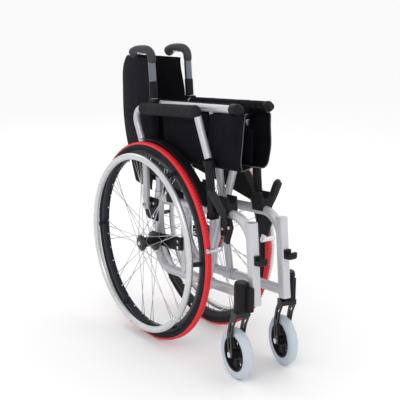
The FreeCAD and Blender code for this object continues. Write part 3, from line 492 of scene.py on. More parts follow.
def finish_tree(graph: Graph, given: bpy.types.Node, end: bpy.types.Node,
                instances: object) -> bpy.types.NodeTree:
    """Realize the instances, set their material and close the tree."""
    real = graph.node("GeometryNodeRealizeInstances")
    graph.feed(real.inputs[0], instances)
    dressed = graph.node("GeometryNodeSetMaterial")
    graph.feed(dressed.inputs["Geometry"], real.outputs[0])
    graph.feed(dressed.inputs["Material"], given.outputs["Material"])
    graph.feed(end.inputs[0], dressed.outputs[0])
    return graph.tree


def run_tree(tree: bpy.types.NodeTree, name: str, finish: Finish, place: Matrix,
             **values: object) -> bpy.types.Object:
    """Grow one piece from a tree and keep it as a plain mesh.

    Args:
        tree: The geometry tree.
        name: The piece's name.
        finish: Its finish.
        place: Where the tree's own frame stands in the chair.
        **values: The tree's inputs, with _ for each space.

    Returns:
        The finished piece.
    """
    base = bpy.data.objects.new(f"{name}_seed", bpy.data.meshes.new(f"{name}_seed"))
    bpy.context.scene.collection.objects.link(base)
    growth = base.modifiers.new("growth", "NODES")
    growth.node_group = tree
    for item in tree.interface.items_tree:
        if item.in_out == "INPUT":
            key = item.name.replace(" ", "_").lower()
            growth[item.identifier] = finish.material() if key == "material" else values[key]
    seen = base.evaluated_get(bpy.context.evaluated_depsgraph_get())
    mesh = bpy.data.meshes.new_from_object(seen)
    base.modifiers.clear()
    bpy.data.objects.remove(base)
    mesh.transform(place)
    return new_piece(name, mesh, [finish])


def spoke_tree() -> bpy.types.NodeTree:
    """Crossed wire spokes from one hub flange to the rim, about the X axis."""
    graph, given, end = new_tree("laced_spokes", {
        "Count": "NodeSocketInt", "Hub Radius": "NodeSocketFloat", "Rim Radius": "NodeSocketFloat",
        "Hub Offset": "NodeSocketFloat", "Rim Offset": "NodeSocketFloat", "Lace Angle": "NodeSocketFloat",
        "Start Angle": "NodeSocketFloat", "Wire": "NodeSocketFloat"})
    value = given.outputs
    index = graph.node("GeometryNodeInputIndex").outputs[0]
    turn = graph.sum("DIVIDE", graph.sum("MULTIPLY", index, 2 * math.pi), value["Count"])
    hub_turn = graph.sum("ADD", turn, value["Start Angle"])
    hand = graph.sum("SUBTRACT", graph.sum("MULTIPLY", graph.sum("MODULO", index, 2.0), 2.0), 1.0)
    rim_turn = graph.sum("ADD", hub_turn, graph.sum("MULTIPLY", hand, value["Lace Angle"]))

    def spot(radius: object, offset: object, angle: object) -> bpy.types.NodeSocket:
        """A point round the wheel."""
        return graph.point(offset, graph.sum("MULTIPLY", radius, graph.sum("COSINE", angle)),
                           graph.sum("MULTIPLY", radius, graph.sum("SINE", angle)))

    start = spot(value["Hub Radius"], value["Hub Offset"], hub_turn)
    stop = spot(value["Rim Radius"], value["Rim Offset"], rim_turn)
    run = graph.node("ShaderNodeVectorMath", operation="SUBTRACT")
    graph.feed(run.inputs[0], stop)
    graph.feed(run.inputs[1], start)
    length = graph.node("ShaderNodeVectorMath", operation="LENGTH")
    graph.feed(length.inputs[0], run.outputs[0])
    middle = graph.node("ShaderNodeMix", data_type="VECTOR")
    middle.inputs["Factor"].default_value = 0.5
    graph.feed(middle.inputs[4], start)
    graph.feed(middle.inputs[5], stop)
    points = graph.node("GeometryNodePoints")
    graph.feed(points.inputs["Count"], value["Count"])
    graph.feed(points.inputs["Position"], middle.outputs[1])
    aim = graph.node("FunctionNodeAlignRotationToVector", axis="Z")
    graph.feed(aim.inputs["Vector"], run.outputs[0])
    wire = graph.node("GeometryNodeMeshCylinder")
    wire.inputs["Vertices"].default_value = 8
    wire.inputs["Depth"].default_value = 1.0
    graph.feed(wire.inputs["Radius"], value["Wire"])
    spread = graph.node("GeometryNodeInstanceOnPoints")
    graph.feed(spread.inputs["Points"], points.outputs[0])
    graph.feed(spread.inputs["Instance"], wire.outputs["Mesh"])
    graph.feed(spread.inputs["Rotation"], aim.outputs[0])
    graph.feed(spread.inputs["Scale"], graph.point(1.0, 1.0, length.outputs["Value"]))
    return finish_tree(graph, given, end, spread.outputs[0])


def block_tree() -> bpy.types.NodeTree:
    """Blocks set round the X axis, each turned to face outwards."""
    graph, given, end = new_tree("blocks_round_a_wheel", {
        "Count": "NodeSocketInt", "Radius": "NodeSocketFloat", "Offset": "NodeSocketFloat",
        "Start Angle": "NodeSocketFloat", "Step Angle": "NodeSocketFloat", "Skew": "NodeSocketFloat",
        "Size": "NodeSocketVector"})
    value = given.outputs
    index = graph.node("GeometryNodeInputIndex").outputs[0]
    turn = graph.sum("ADD", graph.sum("MULTIPLY", index, value["Step Angle"]), value["Start Angle"])
    side = graph.sum("MULTIPLY", value["Radius"], graph.sum("SINE", turn))
    points = graph.node("GeometryNodePoints")
    graph.feed(points.inputs["Count"], value["Count"])
    graph.feed(points.inputs["Position"], graph.point(
        value["Offset"], graph.sum("MULTIPLY", side, -1.0),
        graph.sum("MULTIPLY", value["Radius"], graph.sum("COSINE", turn))))
    block = graph.node("GeometryNodeMeshCube")
    graph.feed(block.inputs["Size"], value["Size"])
    skewed = graph.node("GeometryNodeTransform")
    graph.feed(skewed.inputs["Geometry"], block.outputs["Mesh"])
    graph.feed(skewed.inputs["Rotation"], graph.point(0.0, 0.0, value["Skew"]))
    spread = graph.node("GeometryNodeInstanceOnPoints")
    graph.feed(spread.inputs["Points"], points.outputs[0])
    graph.feed(spread.inputs["Instance"], skewed.outputs[0])
    graph.feed(spread.inputs["Rotation"], graph.point(turn, 0.0, 0.0))
    return finish_tree(graph, given, end, spread.outputs[0])


def stitch_tree() -> bpy.types.NodeTree:
    """Short threads along a straight seam from the origin along X."""
    graph, given, end = new_tree("stitches", {
        "Count": "NodeSocketInt", "Pitch": "NodeSocketFloat", "Thread": "NodeSocketFloat",
        "Length": "NodeSocketFloat"})
    value = given.outputs
    line = graph.node("GeometryNodeMeshLine")
    graph.feed(line.inputs["Count"], value["Count"])
    graph.feed(line.inputs["Offset"], graph.point(value["Pitch"], 0.0, 0.0))
    thread = graph.node("GeometryNodeMeshUVSphere")
    thread.inputs["Segments"].default_value = 6
    thread.inputs["Rings"].default_value = 4
    graph.feed(thread.inputs["Radius"], value["Thread"])
    spread = graph.node("GeometryNodeInstanceOnPoints")
    graph.feed(spread.inputs["Points"], line.outputs[0])
    graph.feed(spread.inputs["Instance"], thread.outputs["Mesh"])
    stretch = graph.sum("DIVIDE", value["Length"], value["Thread"])
    graph.feed(spread.inputs["Scale"], graph.point(stretch, 1.0, 1.0))
    return finish_tree(graph, given, end, spread.outputs[0])


# ---------------------------------------------------------------- wheels

@dataclass
class RearWheel:
    """Tyre with its tread, spokes and nipples of one rear wheel."""

    side: str
    spokes_each_flange: int = 18
    wire: float = 1.0 * MM
    lace_angle: float = math.radians(52)
    rim_depth: float = 17 * MM
    tread_edge: float = 6.8 * MM
    rib_count: int = 190
    rib_height: float = 0.8 * MM

    def build(self, spokes: bpy.types.NodeTree, blocks: bpy.types.NodeTree) -> None:
        """Make the wheel's pieces and set them riding on it.

        Args:
            spokes: The tree that laces spokes.
            blocks: The tree that sets blocks round a wheel.
        """
        low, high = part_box(f"{self.side}_tyre")
        hub_low, hub_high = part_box(f"{self.side}_hub")
        hand = SIDES[self.side]
        place = Matrix.Translation((low + high) / 2)
        radius = (high.z - low.z) / 2
        half = (high.x - low.x) / 2
        bead = (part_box(f"{self.side}_rim")[1].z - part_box(f"{self.side}_rim")[0].z) / 2
        crown = radius - self.rib_height
        waist = crown - half
        profile = [(half * 0.79, bead + 0.2 * MM)]
        for step in range(25):
            turn = math.radians(125 - step * 250 / 24)
            profile.append((half * math.sin(turn), waist + (crown - waist) * math.cos(turn)))
        profile.append((-half * 0.79, bead + 0.2 * MM))
        edge = radius - self.tread_edge
        tyre = new_piece(f"{self.side}_tyre_carcass", revolve(
            "tyre", profile, place, 180, lambda r: 0 if r > edge else 1), [TREAD, SIDEWALL])
        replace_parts(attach(tyre, f"{self.side}_wheel"), f"{self.side}_tyre")
        step = 2 * math.pi / self.rib_count
        for tag, offset, skew, start in (("inner", -0.26, 0.45, 0.0), ("outer", 0.26, -0.45, step / 2)):
            drop = (half * 0.26) ** 2 / (2.2 * half)
            ribs = run_tree(blocks, f"{self.side}_tread_ribs_{tag}", TREAD, place, count=self.rib_count,
                            radius=crown - drop, offset=half * offset, start_angle=start, step_angle=step,
                            skew=skew, size=(half * 0.5, 4.4 * MM, 2 * self.rib_height))
            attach(ribs, f"{self.side}_wheel")
        middle = place.translation.x
        flanges = (("inner", (hub_low if hand > 0 else hub_high).x - middle + hand * 1.6 * MM, 26 * MM, 0.0),
                   ("outer", (hub_high if hand > 0 else hub_low).x - middle - hand * 6.6 * MM, 20.5 * MM,
                    math.pi / self.spokes_each_flange))
        for tag, offset, ring, start in flanges:
            laced = run_tree(spokes, f"{self.side}_spokes_{tag}", SPOKE_STEEL, place,
                             count=self.spokes_each_flange, hub_radius=ring, rim_radius=bead - self.rim_depth,
                             hub_offset=offset, rim_offset=offset * 0.05, lace_angle=self.lace_angle,
                             start_angle=start, wire=self.wire)
            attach(laced, f"{self.side}_wheel")
            nipples = run_tree(blocks, f"{self.side}_nipples_{tag}", STEEL, place,
                               count=self.spokes_each_flange, radius=bead - self.rim_depth - 4 * MM,
                               offset=offset * 0.06, start_angle=start + self.lace_angle,
                               step_angle=2 * math.pi / self.spokes_each_flange, skew=0.0,
                               size=(3 * MM, 3 * MM, 9 * MM))
            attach(nipples, f"{self.side}_wheel")
        LOG.info("%s rear wheel", self.side)


@dataclass
class CasterWheel:
    """The rounded tyre of one caster."""

    side: str
    bead: float = 49 * MM
    half_width: float = 14.5 * MM

    def build(self) -> None:
        """Make the tyre about the caster's own axle and set it riding."""
        low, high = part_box(f"{self.side}_caster_tyre")
        spin = joint(f"{self.side}_caster_spin")
        place = stand(Vector(spin["pos_m"]), Vector(spin["axis"]).normalized())
        radius = (high.z - low.z) / 2
        waist = radius - self.half_width * 0.95
        profile = [(11.4 * MM, self.bead + 0.3 * MM)]
        for step in range(21):
            turn = math.radians(112 - step * 224 / 20)
            profile.append((self.half_width * math.sin(turn), waist + (radius - waist) * math.cos(turn)))
        profile.append((-11.4 * MM, self.bead + 0.3 * MM))
        tyre = new_piece(f"{self.side}_caster_tread", revolve("caster", profile, place, 96), [CASTER])
        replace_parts(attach(tyre, f"{self.side}_caster"), f"{self.side}_caster_tyre")
        LOG.info("%s caster", self.side)


# ---------------------------------------------------------------- grips and pads

@dataclass
class HandParts:
    """Push grip, arm pad, brake grip and small trim of one side."""

    side: str
    grip_radius: float = 13.2 * MM
    ring_count: int = 9
    pad_overlap: float = 38 * MM
    cap_cuff: float = 24

    def build(self) -> None:
        """Make every hand-held part of the side."""
        self._push_grip()
        self._arm_pad()
        self._brake_grip()
        self._rail_cap()
        LOG.info("%s grips and pads", self.side)

    def _push_grip(self) -> None:
        """The hooked rubber grip, with a drooping end and shallow finger rings."""
        low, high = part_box(f"{self.side}_push_grip")
        middle = (low.x + high.x) / 2
        route = ((0.095, 0.0), (0.105, 0.3), (0.15, 0.55), (0.27, 0.72), (0.45, 0.745), (0.65, 0.7),
                 (0.83, 0.58), (0.97, 0.4))
        path = flow([Vector((middle, low.y + (high.y - low.y) * a, low.z + (high.z - low.z) * b))
                     for a, b in route], 56)

        def section(share: float) -> list[Point]:
            """Swollen at the palm, ringed, and rounded at both ends."""
            tip = math.sqrt(max(0.0, 1 - ease(share, 0.94, 1.0) ** 2 * 0.75))
            ends = tip * (0.86 + 0.14 * ease(share, 0, 0.06))
            rings = 1 + 0.025 * math.sin(share * self.ring_count * 2 * math.pi) * ease(share, 0.3, 0.4)
            swell = 0.95 + 0.15 * ease(share, 0.6, 0.95)
            size = self.grip_radius * ends * rings * swell
            droop = 2.2 * MM * ease(share, 0.7, 0.95)
            return [(a, b - (droop if b < 0 else 0.0)) for a, b in oval(size, size)]

        mesh = sweep("grip", path, section, Vector((0, -0.4, 1)))
        grip = new_piece(f"{self.side}_handle_grip", mesh, [GRIP])
        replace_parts(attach(grip, f"{self.side}_frame"), f"{self.side}_push_grip")

    def _arm_pad(self) -> None:
        """The skinned foam pad with a moulded collar at each end."""
        low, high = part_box(f"{self.side}_arm_pad")
        middle = (low.x + high.x) / 2
        wide, tall = (high.x - low.x) / 2, 18.4 * MM
        rear = Vector((middle, high.y - 2 * MM, low.z + 19 * MM))
        front = Vector((middle, low.y - self.pad_overlap, high.z - 15.5 * MM))
        path = [rear.lerp(front, ease(step / 70, -0.12, 1.12)) for step in range(71)]
        path[0], path[-1] = rear, front

        def section(share: float) -> list[Point]:
            """Full in the middle, rounded ends and a collar near each end."""
            edge = min(share, 1 - share)
            ends = math.sqrt(1 - (1 - min(1.0, edge / 0.05)) ** 2 * 0.62)
            collar = 1 + 0.05 * ease(edge, 0.085, 0.07) - 0.05 * math.exp(-((edge - 0.1) / 0.008) ** 2)
            soft = 1 + 0.012 * math.sin(share * 41) * math.sin(share * 17 + 1)
            size = ends * collar * soft * 0.97
            return oval(wide * size * 1.09, tall * size, 32, 2.25)

        pad = new_piece(f"{self.side}_foam_pad", sweep("pad", path, section), [FOAM])
        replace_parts(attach(pad, f"{self.side}_arm"), f"{self.side}_arm_pad")

    def _brake_grip(self) -> None:
        """The flat oval grip over the brake lever."""
        low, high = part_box(f"{self.side}_brake_lever")
        hand = SIDES[self.side]
        inside = low.x if hand > 0 else high.x
        outside = high.x if hand > 0 else low.x
        tip = Vector((outside - hand * 8 * MM, low.y + 17 * MM, high.z - 5 * MM))
        root = Vector((inside + hand * 8.5 * MM, low.y + 11 * MM, low.z + 38 * MM))
        bow = Vector((hand * 1.5 * MM, 0, 0))
        path = flow([root, root.lerp(tip, 0.35) + bow, root.lerp(tip, 0.7), tip], 40)

        def section(share: float) -> list[Point]:
            """Narrow at the root, broad towards the tip, with rounded ends."""
            edge = min(share / 0.06, (1 - share) / 0.1, 1.0)
            ends = math.sqrt(1 - (1 - edge) ** 2 * 0.8)
            broad = 9.6 * MM + 4.2 * MM * ease(share, 0.05, 0.7)
            ribs = 1 + 0.02 * math.sin(share * 60) * ease(share, 0.3, 0.4) * ease(share, 0.85, 0.75)
            return oval(broad * ends * ribs, 9.8 * MM * ends * ribs, 28, 2.4)

        mesh = sweep("brake_grip", path, section, Vector((1, 0, 0)))
        grip = new_piece(f"{self.side}_brake_grip", mesh, [LEVER])
        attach(grip, f"{self.side}_lever")

    def _rail_cap(self) -> None:
        """The black sleeve and round knob on the front end of the seat rail."""
        rail = Rail(self.side)
        place = stand(rail.front, (rail.front - rail.rear).normalized())
        bore = rail.radius + 0.1 * MM
        cuff = self.cap_cuff
        profile = [(-cuff, 1.9), (1 - cuff, 2.4), (2, 2.6), (4.5, 1.6), (5.2, -1.0), (6, -2.6), (12, -2.4),
                   (14.2, -3.6), (15.2, -6.5), (15.6, -12.35), (0.4, -12.35), (0.3, 0.0), (-cuff, 0.0)]
        outline = [(along * MM, bore + rise * MM) for along, rise in profile]
        cap = new_piece(f"{self.side}_rail_cap", revolve("cap", outline, place, 48), [BLACK_PLASTIC])
        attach(cap, Rail.BODIES[self.side])


class Rail:
    """The axis of one seat rail, read from the frame."""

    BODIES = {"left": "front_brace", "right": "rear_brace"}
    PITCH = math.radians(4)

    def __init__(self, side: str) -> None:
        """Work out the rail's ends and radius from its box."""
        low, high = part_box(f"{side}_seat_rail")
        middle = (low.x + high.x) / 2
        self.radius = (high.x - low.x) / 2
        lift, lean = self.radius * math.cos(self.PITCH), self.radius * math.sin(self.PITCH)
        self.rear = Vector((middle, high.y - lean, low.z + lift))
        self.front = Vector((middle, low.y + lean, high.z - lift))

    def at(self, back: float) -> Vector:
        """The point of the axis at a distance back."""
        share = (back - self.rear.y) / (self.front.y - self.rear.y)
        return self.rear + (self.front - self.rear) * share


# ---------------------------------------------------------------- cloth

@dataclass
class SeatSide:
    """Half of the hanging seat cloth, with its rail sleeve, hem and seam."""

    side: str
    loop: Sequence[Point]
    curl_top: float
    curl_foot: float
    brace_head: float
    wrinkle: float
    groove: Sequence[Point] = ((38.2, 1), (36.4, 10), (33.2, 25), (19, 94), (7, 146), (3.6, 155), (1.6, 158))
    brace_lean: float = 0.094
    rows: int = 74
    columns: int = 46
    thickness: float = 1.6 * MM
    keep: float = 0.12
    lie: float = 16.4 * MM
    sleeve_gap: float = 20 * MM

    def build(self) -> None:
        """Make the cloth and what is sewn to it, and set them folding with the seat."""
        rail = Rail(self.side)
        panel_low, panel_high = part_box(f"{self.side}_seat_panel")
        rear, front = panel_high.y, panel_low.y - 2 * MM
        wide = self._smooth(self.loop)
        tight = self._smooth(self.groove)
        rows = [self._row(rail, rear, front, step / self.rows, wide, tight) for step in range(self.rows + 1)]
        hand = SIDES[self.side]
        cloth = new_piece(f"{self.side}_seat_sling", grid("sling", rows, Vector((hand, 0, 0))), [SEAT_CLOTH])
        thicken(cloth, self.thickness)
        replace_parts(self._fold(cloth), f"{self.side}_seat_panel")
        hem = self._strip(f"{self.side}_seat_hem", rows[-1][3:], 1.7 * MM, PIPING)
        foot = self._strip(f"{self.side}_seat_binding", [row[-1] for row in rows], 1.5 * MM, PIPING)
        self._sleeve(rail)

    def _smooth(self, outline: Sequence[Point]) -> list[Vector]:
        """Evenly spaced points on a section, as (out, 0, down) in metres."""
        return flow([Vector((out * MM, 0, down * MM)) for out, down in outline], self.columns + 1)

    def _row(self, rail: Rail, rear: float, front: float, share: float, wide: Sequence[Vector],
             tight: Sequence[Vector]) -> list[Vector]:
        """The cloth's section at a share of the way to the front.

        Args:
            rail: The rail that it hangs from.
            rear: Where the cloth starts.
            front: Where it ends.
            share: The share of the way, 0 to 1.
            wide: The free section.
            tight: The section beside the brace.

        Returns:
            The points from the rail down.
        """
        hand = SIDES[self.side]
        corner = 0.93
        back = rear + (front - rear) * min(1.0, share / corner)
        turn = ease(share, corner - 0.05, 1.0)
        points = []
        for index, (free, held) in enumerate(zip(wide, tight)):
            down = index / self.columns
            beside = back - (self.brace_head + self.brace_lean * free.z)
            grip = ease(beside, -19 * MM, -12 * MM) * ease(beside, 21 * MM, 12 * MM)
            spot = free.lerp(held, grip)
            tube = 63.5 * MM - 0.2067 * spot.z
            lap = ease(spot.x, tube, tube + 1.5 * MM) * ease(abs(beside), 75 * MM, 16 * MM)
            slide = math.copysign(18 * MM, -beside) * lap
            reach = self.curl_top + (self.curl_foot - self.curl_top) * down
            outer = ease(spot.x, 40 * MM, 56 * MM) * ease(down, 1.0, 0.8)
            spot = spot - Vector((reach * turn * outer, 0, 0))
            axis = rail.at(back)
            bend = noise.noise(Vector((back * 11, spot.z * 9, hand * 3.7)))
            crease = noise.noise(Vector((back * 34, spot.z * 26, hand * 1.9)))
            sway = (bend * 3.4 + crease * 2.0) * MM * self.wrinkle * ease(down, 0.1, 0.4) * (1 - 0.8 * grip)
            dip = noise.noise(Vector((back * 16, 4.1, hand))) * 4 * MM * ease(down, 0.8, 1.0)
            depth = back + slide - turn * outer * 3 * MM
            points.append(Vector((hand * (spot.x + sway), depth, axis.z - spot.z - dip)))
        return points

    def _fold(self, piece: bpy.types.Object) -> bpy.types.Object:
        """Let a piece turn with the seat panel, on a mesh of its own."""
        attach(piece, f"{self.side}_seat")
        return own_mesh(piece)

    def _strip(self, name: str, path: Sequence[Vector], radius: float, finish: Finish) -> bpy.types.Object:
        """A round binding along an edge of the cloth."""
        mesh = sweep(name, path, lambda share: oval(radius, radius, 10), Vector((1, 0, 0.01)))
        return self._fold(new_piece(name, mesh, [finish]))

    def _sleeve(self, rail: Rail) -> None:
        """The cloth that wraps the inner half of the rail."""
        hand = SIDES[self.side]
        rows = []
        for step in range(61):
            back = rail.rear.y - 6 * MM + (rail.front.y - rail.rear.y + 6 * MM + self.sleeve_gap) * step / 60
            axis = rail.at(back)
            row = []
            for arc in range(17):
                turn = math.radians(-24 + arc * 116 / 16)
                pucker = 0.5 * MM * noise.noise(Vector((back * 60, turn * 2, hand)))
                reach = rail.radius + 1.3 * MM + pucker
                row.append(axis + Vector((-hand * math.sin(turn), 0, math.cos(turn))) * reach)
            rows.append(row)
        piece = new_piece(f"{self.side}_rail_sleeve", grid("sleeve", rows, Vector((0, 0, 1))), [SEAT_CLOTH])
        thicken(piece, 1.4 * MM)
        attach(piece, Rail.BODIES[self.side])


def middle_strip() -> None:
    """The seat's middle, which stands folded between its two sides."""
    low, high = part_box("middle_seat_strip")
    rows = []
    for step in range(57):
        back = high.y - 6 * MM - (high.y - low.y - 8 * MM) * step / 56
        row = []
        for rise in range(25):
            share = rise / 24
            slope = (high.y - back) * math.tan(Rail.PITCH)
            tall = high.z - low.z - (high.y - low.y) * math.tan(Rail.PITCH) + 5 * MM
            height = low.z + slope + share * tall
            wave = noise.noise(Vector((back * 15, share * 3, 7.3))) * 1.4 * MM * ease(share, 0.0, 0.4)
            row.append(Vector(((low.x + high.x) / 2 + wave, back, height)))
        rows.append(row)
    piece = new_piece("seat_middle", grid("middle", rows, Vector((1, 0, 0))), [SEAT_CLOTH])
    thicken(piece, 1.6 * MM)
    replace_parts(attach(piece, "middle_seat"), "middle_seat_strip")


@dataclass
class BackSide:
    """Half of the back cloth, folded rearwards from its tube, with bound edges."""

    side: str
    lean: float = math.radians(15.7)
    swell: float = 4 * MM
    keep: float = 0.2
    thickness: float = 3.4 * MM
    rows: int = 60
    columns: int = 34
    hem_radius: float = 12.4 * MM
    hem_low: float = 0.566
    hem_high: float = 0.6975

    def build(self, stitches: bpy.types.NodeTree) -> None:
        """Make the cloth, its binding, its sleeve on the tube and its stitches.

        Args:
            stitches: The tree that sets threads along a seam.
        """
        hand = SIDES[self.side]
        low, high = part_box(f"{self.side}_back_panel")
        pivot = Vector(joint(f"{self.side}_back_cloth")["pos_m"])
        pivot.z = 0
        away = Vector((-hand * math.sin(self.lean), math.cos(self.lean), 0))
        outward = Vector((hand * math.cos(self.lean), math.sin(self.lean), 0))
        rows = [self._row(pivot, away, outward, low.z, high.z, step / self.rows)
                for step in range(self.rows + 1)]
        cloth = new_piece(f"{self.side}_back_sling", grid("back", rows, outward), [BACK_CLOTH])
        thicken(cloth, self.thickness)
        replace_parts(self._fold(cloth, outward, pivot), f"{self.side}_back_panel")
        edge = [*rows[0], *[row[-1] for row in rows[1:]], *reversed(rows[-1][:-1])]
        bound = new_piece(f"{self.side}_back_binding", sweep(
            "binding", flow(edge[::3] + edge[-1:], 150), lambda share: oval(2.2 * MM, 2.2 * MM, 10),
            Vector((1, 0.02, 0.01))), [BACK_CLOTH])
        self._fold(bound, outward, pivot)
        self._sleeve()
        turn = Matrix((away, Vector((0, 0, 1)), away.cross(Vector((0, 0, 1))))).transposed().to_4x4()
        for tag, height in (("top", high.z - 16 * MM), ("low", high.z - 20 * MM)):
            start = pivot + away * 26 * MM + outward * (self.thickness / 2 + 0.6 * MM)
            start.z = height
            seam = run_tree(stitches, f"{self.side}_back_stitches_{tag}", PIPING,
                            Matrix.Translation(start) @ turn, count=30, pitch=5 * MM,
                            thread=0.35 * MM, length=1.6 * MM)
            self._fold(seam, outward, pivot)
        self._cane()

    def _fold(self, piece: bpy.types.Object, outward: Vector, anchor: Vector) -> bpy.types.Object:
        """Let a piece turn with the back cloth, on a mesh of its own."""
        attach(piece, f"{self.side}_back")
        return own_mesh(piece)

    def _cane(self) -> None:
        """The dark upper cane, in two telescoping lengths above the collar."""
        hand = SIDES[self.side]
        for tag, foot, top, radius, finish in (("lower", 0.723, 0.771, 12.6 * MM, BLACK_PLASTIC),
                                               ("upper", 0.768, 0.829, 11.2 * MM, GUNMETAL)):
            ends = [Vector((hand * 64 * MM, (120.5 + (height - 0.722) * 13 / 0.126) * MM, height))
                    for height in (foot, top)]
            path = [ends[0].lerp(ends[1], step / 12) for step in range(13)]
            sleeve = new_piece(f"{self.side}_cane_{tag}", sweep(
                "cane", path, lambda share: oval(radius, radius, 32), Vector((1, 0, 0))), [finish])
            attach(sleeve, f"{self.side}_frame")

    def _row(self, pivot: Vector, away: Vector, outward: Vector, foot: float, top: float,
             share: float) -> list[Vector]:
        """One level of the cloth, from the tube rearwards.

        Args:
            pivot: The tube's axis at floor level.
            away: The direction that the cloth reaches in.
            outward: The direction of its outer face.
            foot: Its lowest height.
            top: Its highest height.
            share: The level, 0 at the foot and 1 at the top.

        Returns:
            The points of the level.
        """
        height = foot + (top - foot) * share
        full = 239 * MM
        reach = full - 84 * MM * (1 - ease(share, -0.3, 0.6)) ** 1.3 - 26 * MM * ease(share, 0.9, 1.02) ** 2
        inner = 17 * MM + 15 * MM * ease(share, 0.14, 0.0) + 19 * MM * ease(share, 0.7, 1.0)
        rise = ease(share, -0.3, 0.62) * (1 - 0.3 * ease(share, 0.84, 1.02))
        points = []
        for step in range(self.columns + 1):
            along = step / self.columns
            out = self.swell * math.sin(math.pi * 0.62 * along) * rise
            slack = noise.noise(Vector((along * 2.2, share * 5, SIDES[self.side] * 2.3))) * 2.2 * MM
            ripple = math.sin(share * 60 + 4 * along) * 0.5 * MM * ease(along, 0.25, 0.0)
            swing = out + (slack + ripple) * ease(along, 0.0, 0.1) * ease(along, 1.0, 0.93)
            spot = pivot + away * (inner + (reach - inner) * along) + outward * swing
            points.append(Vector((spot.x, spot.y, height)))
        return points

    def _sleeve(self) -> None:
        """The hem of the back cloth round its tube, under the collar."""
        pivot = Vector(joint(f"{self.side}_back_cloth")["pos_m"])
        rows = []
        for step in range(41):
            height = self.hem_low + (self.hem_high - self.hem_low) * step / 40
            row = []
            for arc in range(25):
                turn = 2 * math.pi * arc / 24
                bump = noise.noise(Vector((math.cos(turn), math.sin(turn), height * 50)))
                size = self.hem_radius + 0.5 * MM * bump
                row.append(Vector((pivot.x + size * math.cos(turn), pivot.y + size * math.sin(turn), height)))
            rows.append(row)
        mesh = grid("hem", rows, Vector((0, 0, 1)))
        work = bmesh.new()
        work.from_mesh(mesh)
        bmesh.ops.remove_doubles(work, verts=work.verts, dist=1e-6)
        bmesh.ops.recalc_face_normals(work, faces=work.faces)
        work.to_mesh(mesh)
        work.free()
        piece = new_piece(f"{self.side}_back_sleeve", mesh, [BACK_CLOTH])
        thicken(piece, 1.8 * MM)
        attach(piece, f"{self.side}_frame")


# ---------------------------------------------------------------- studio

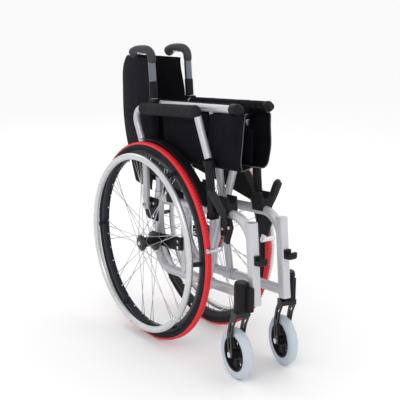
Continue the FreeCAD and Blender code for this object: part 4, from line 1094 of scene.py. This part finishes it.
@dataclass
class Studio:
    """Pale floor, soft lights and the camera."""

    eye: Vector = Vector((-1.478, -2.0735, 1.061))
    target: Vector = Vector((0.0, 0.0722, 0.4092))
    roll: float = math.radians(-0.17)
    lens: float = 79.8
    shift: Point = (0.046, 0.004)

    def build(self) -> None:
        """Make everything that isn't part of the chair."""
        self._floor()
        self._world()
        self._lamp("key", (-2.2, -2.4, 2.9), 1.6, 26)
        self._lamp("fill", (2.6, -1.6, 1.9), 2.0, 5)
        self._lamp("rear", (0.3, 2.8, 2.6), 2.2, 12)
        self._camera()

    def _floor(self) -> None:
        """A wide pale floor with faint cloudy variation."""
        half = 60.0
        mesh = bpy.data.meshes.new("floor")
        corners = [(-half, -half, 0), (half, -half, 0), (half, half, 0), (-half, half, 0)]
        mesh.from_pydata(corners, [], [(0, 1, 2, 3)])
        floor = bpy.data.objects.new("floor", mesh)
        bpy.context.scene.collection.objects.link(floor)
        paper = Finish("studio_paper", "frame_silver", (0.975, 0.975, 0.978), (0.955, 0.955, 0.96), 0.7,
                       Surface.PAINT, specular=0.2, relief=0.02)
        mesh.materials.append(paper.material())

    def _world(self) -> None:
        """Even white light all round."""
        world = bpy.data.worlds.new("studio_air")
        world.use_nodes = True
        world.node_tree.nodes["Background"].inputs["Color"].default_value = (1, 1, 1, 1)
        world.node_tree.nodes["Background"].inputs["Strength"].default_value = 0.98
        bpy.context.scene.world = world
        bpy.context.scene.view_settings.view_transform = "Standard"

    def _lamp(self, name: str, spot: tuple[float, float, float], size: float, power: float) -> None:
        """A square soft light that faces the chair."""
        lamp = bpy.data.lights.new(name, "AREA")
        lamp.size = size
        lamp.energy = power
        holder = bpy.data.objects.new(name, lamp)
        holder.location = spot
        holder.rotation_euler = (self.target - Vector(spot)).to_track_quat("-Z", "Y").to_euler()
        bpy.context.scene.collection.objects.link(holder)

    def _camera(self) -> None:
        """The camera at the front right of the chair."""
        lens = bpy.data.cameras.new("camera")
        lens.lens = self.lens
        lens.sensor_width = 36
        lens.shift_x, lens.shift_y = self.shift
        camera = bpy.data.objects.new("camera", lens)
        camera.location = self.eye
        aim = (self.target - self.eye).to_track_quat("-Z", "Y").to_matrix()
        camera.rotation_euler = (aim @ Matrix.Rotation(self.roll, 3, "Z")).to_euler()
        bpy.context.scene.collection.objects.link(camera)
        bpy.context.scene.camera = camera


def dress_nodes() -> None:
    """Give each CAD node that stays its finish."""
    for name, node in frame["nodes"].items():
        kind = name.split("_", 1)[1] if name.split("_", 1)[0] in SIDES else name
        finish = SILVER if kind.endswith("cross_brace") else NODE_FINISHES.get(kind)
        if finish is None:
            continue
        node.data.materials.clear()
        node.data.materials.append(finish.material())
    LOG.info("dressed %d nodes", len(frame["nodes"]))


NEAR_LOOP = ((38.3, 1), (39.6, 8), (44, 13.6), (51.7, 14.6), (60, 13.5), (64.3, 18), (64.6, 40), (63.5, 80),
             (62, 115), (60, 143), (55, 159), (44, 166), (28, 165), (12, 161), (1.6, 158))
FAR_LOOP = ((38.3, 1), (39.6, 8), (44, 13.6), (51.7, 14.6), (58, 20), (59.5, 45), (60, 85), (58, 118),
            (55, 144), (48, 158), (36, 165), (20, 162), (1.6, 158))


def main() -> None:
    """Build the chair's pieces and its studio."""
    logging.basicConfig(level=logging.INFO)
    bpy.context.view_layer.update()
    dress_nodes()
    spokes, blocks, stitches = spoke_tree(), block_tree(), stitch_tree()
    for side in SIDES:
        RearWheel(side).build(spokes, blocks)
        CasterWheel(side).build()
        HandParts(side, cap_cuff=24 if side == "right" else 7).build()
        BackSide(side, swell=(30 if side == "right" else 4) * MM).build(stitches)
    SeatSide("right", NEAR_LOOP, 36 * MM, 8 * MM, -0.1525, 0.9).build()
    SeatSide("left", FAR_LOOP, 4 * MM, 2 * MM, -0.1785, 1.6, sleeve_gap=5 * MM).build()
    middle_strip()
    Studio().build()


if __name__ == "__main__":
    main()
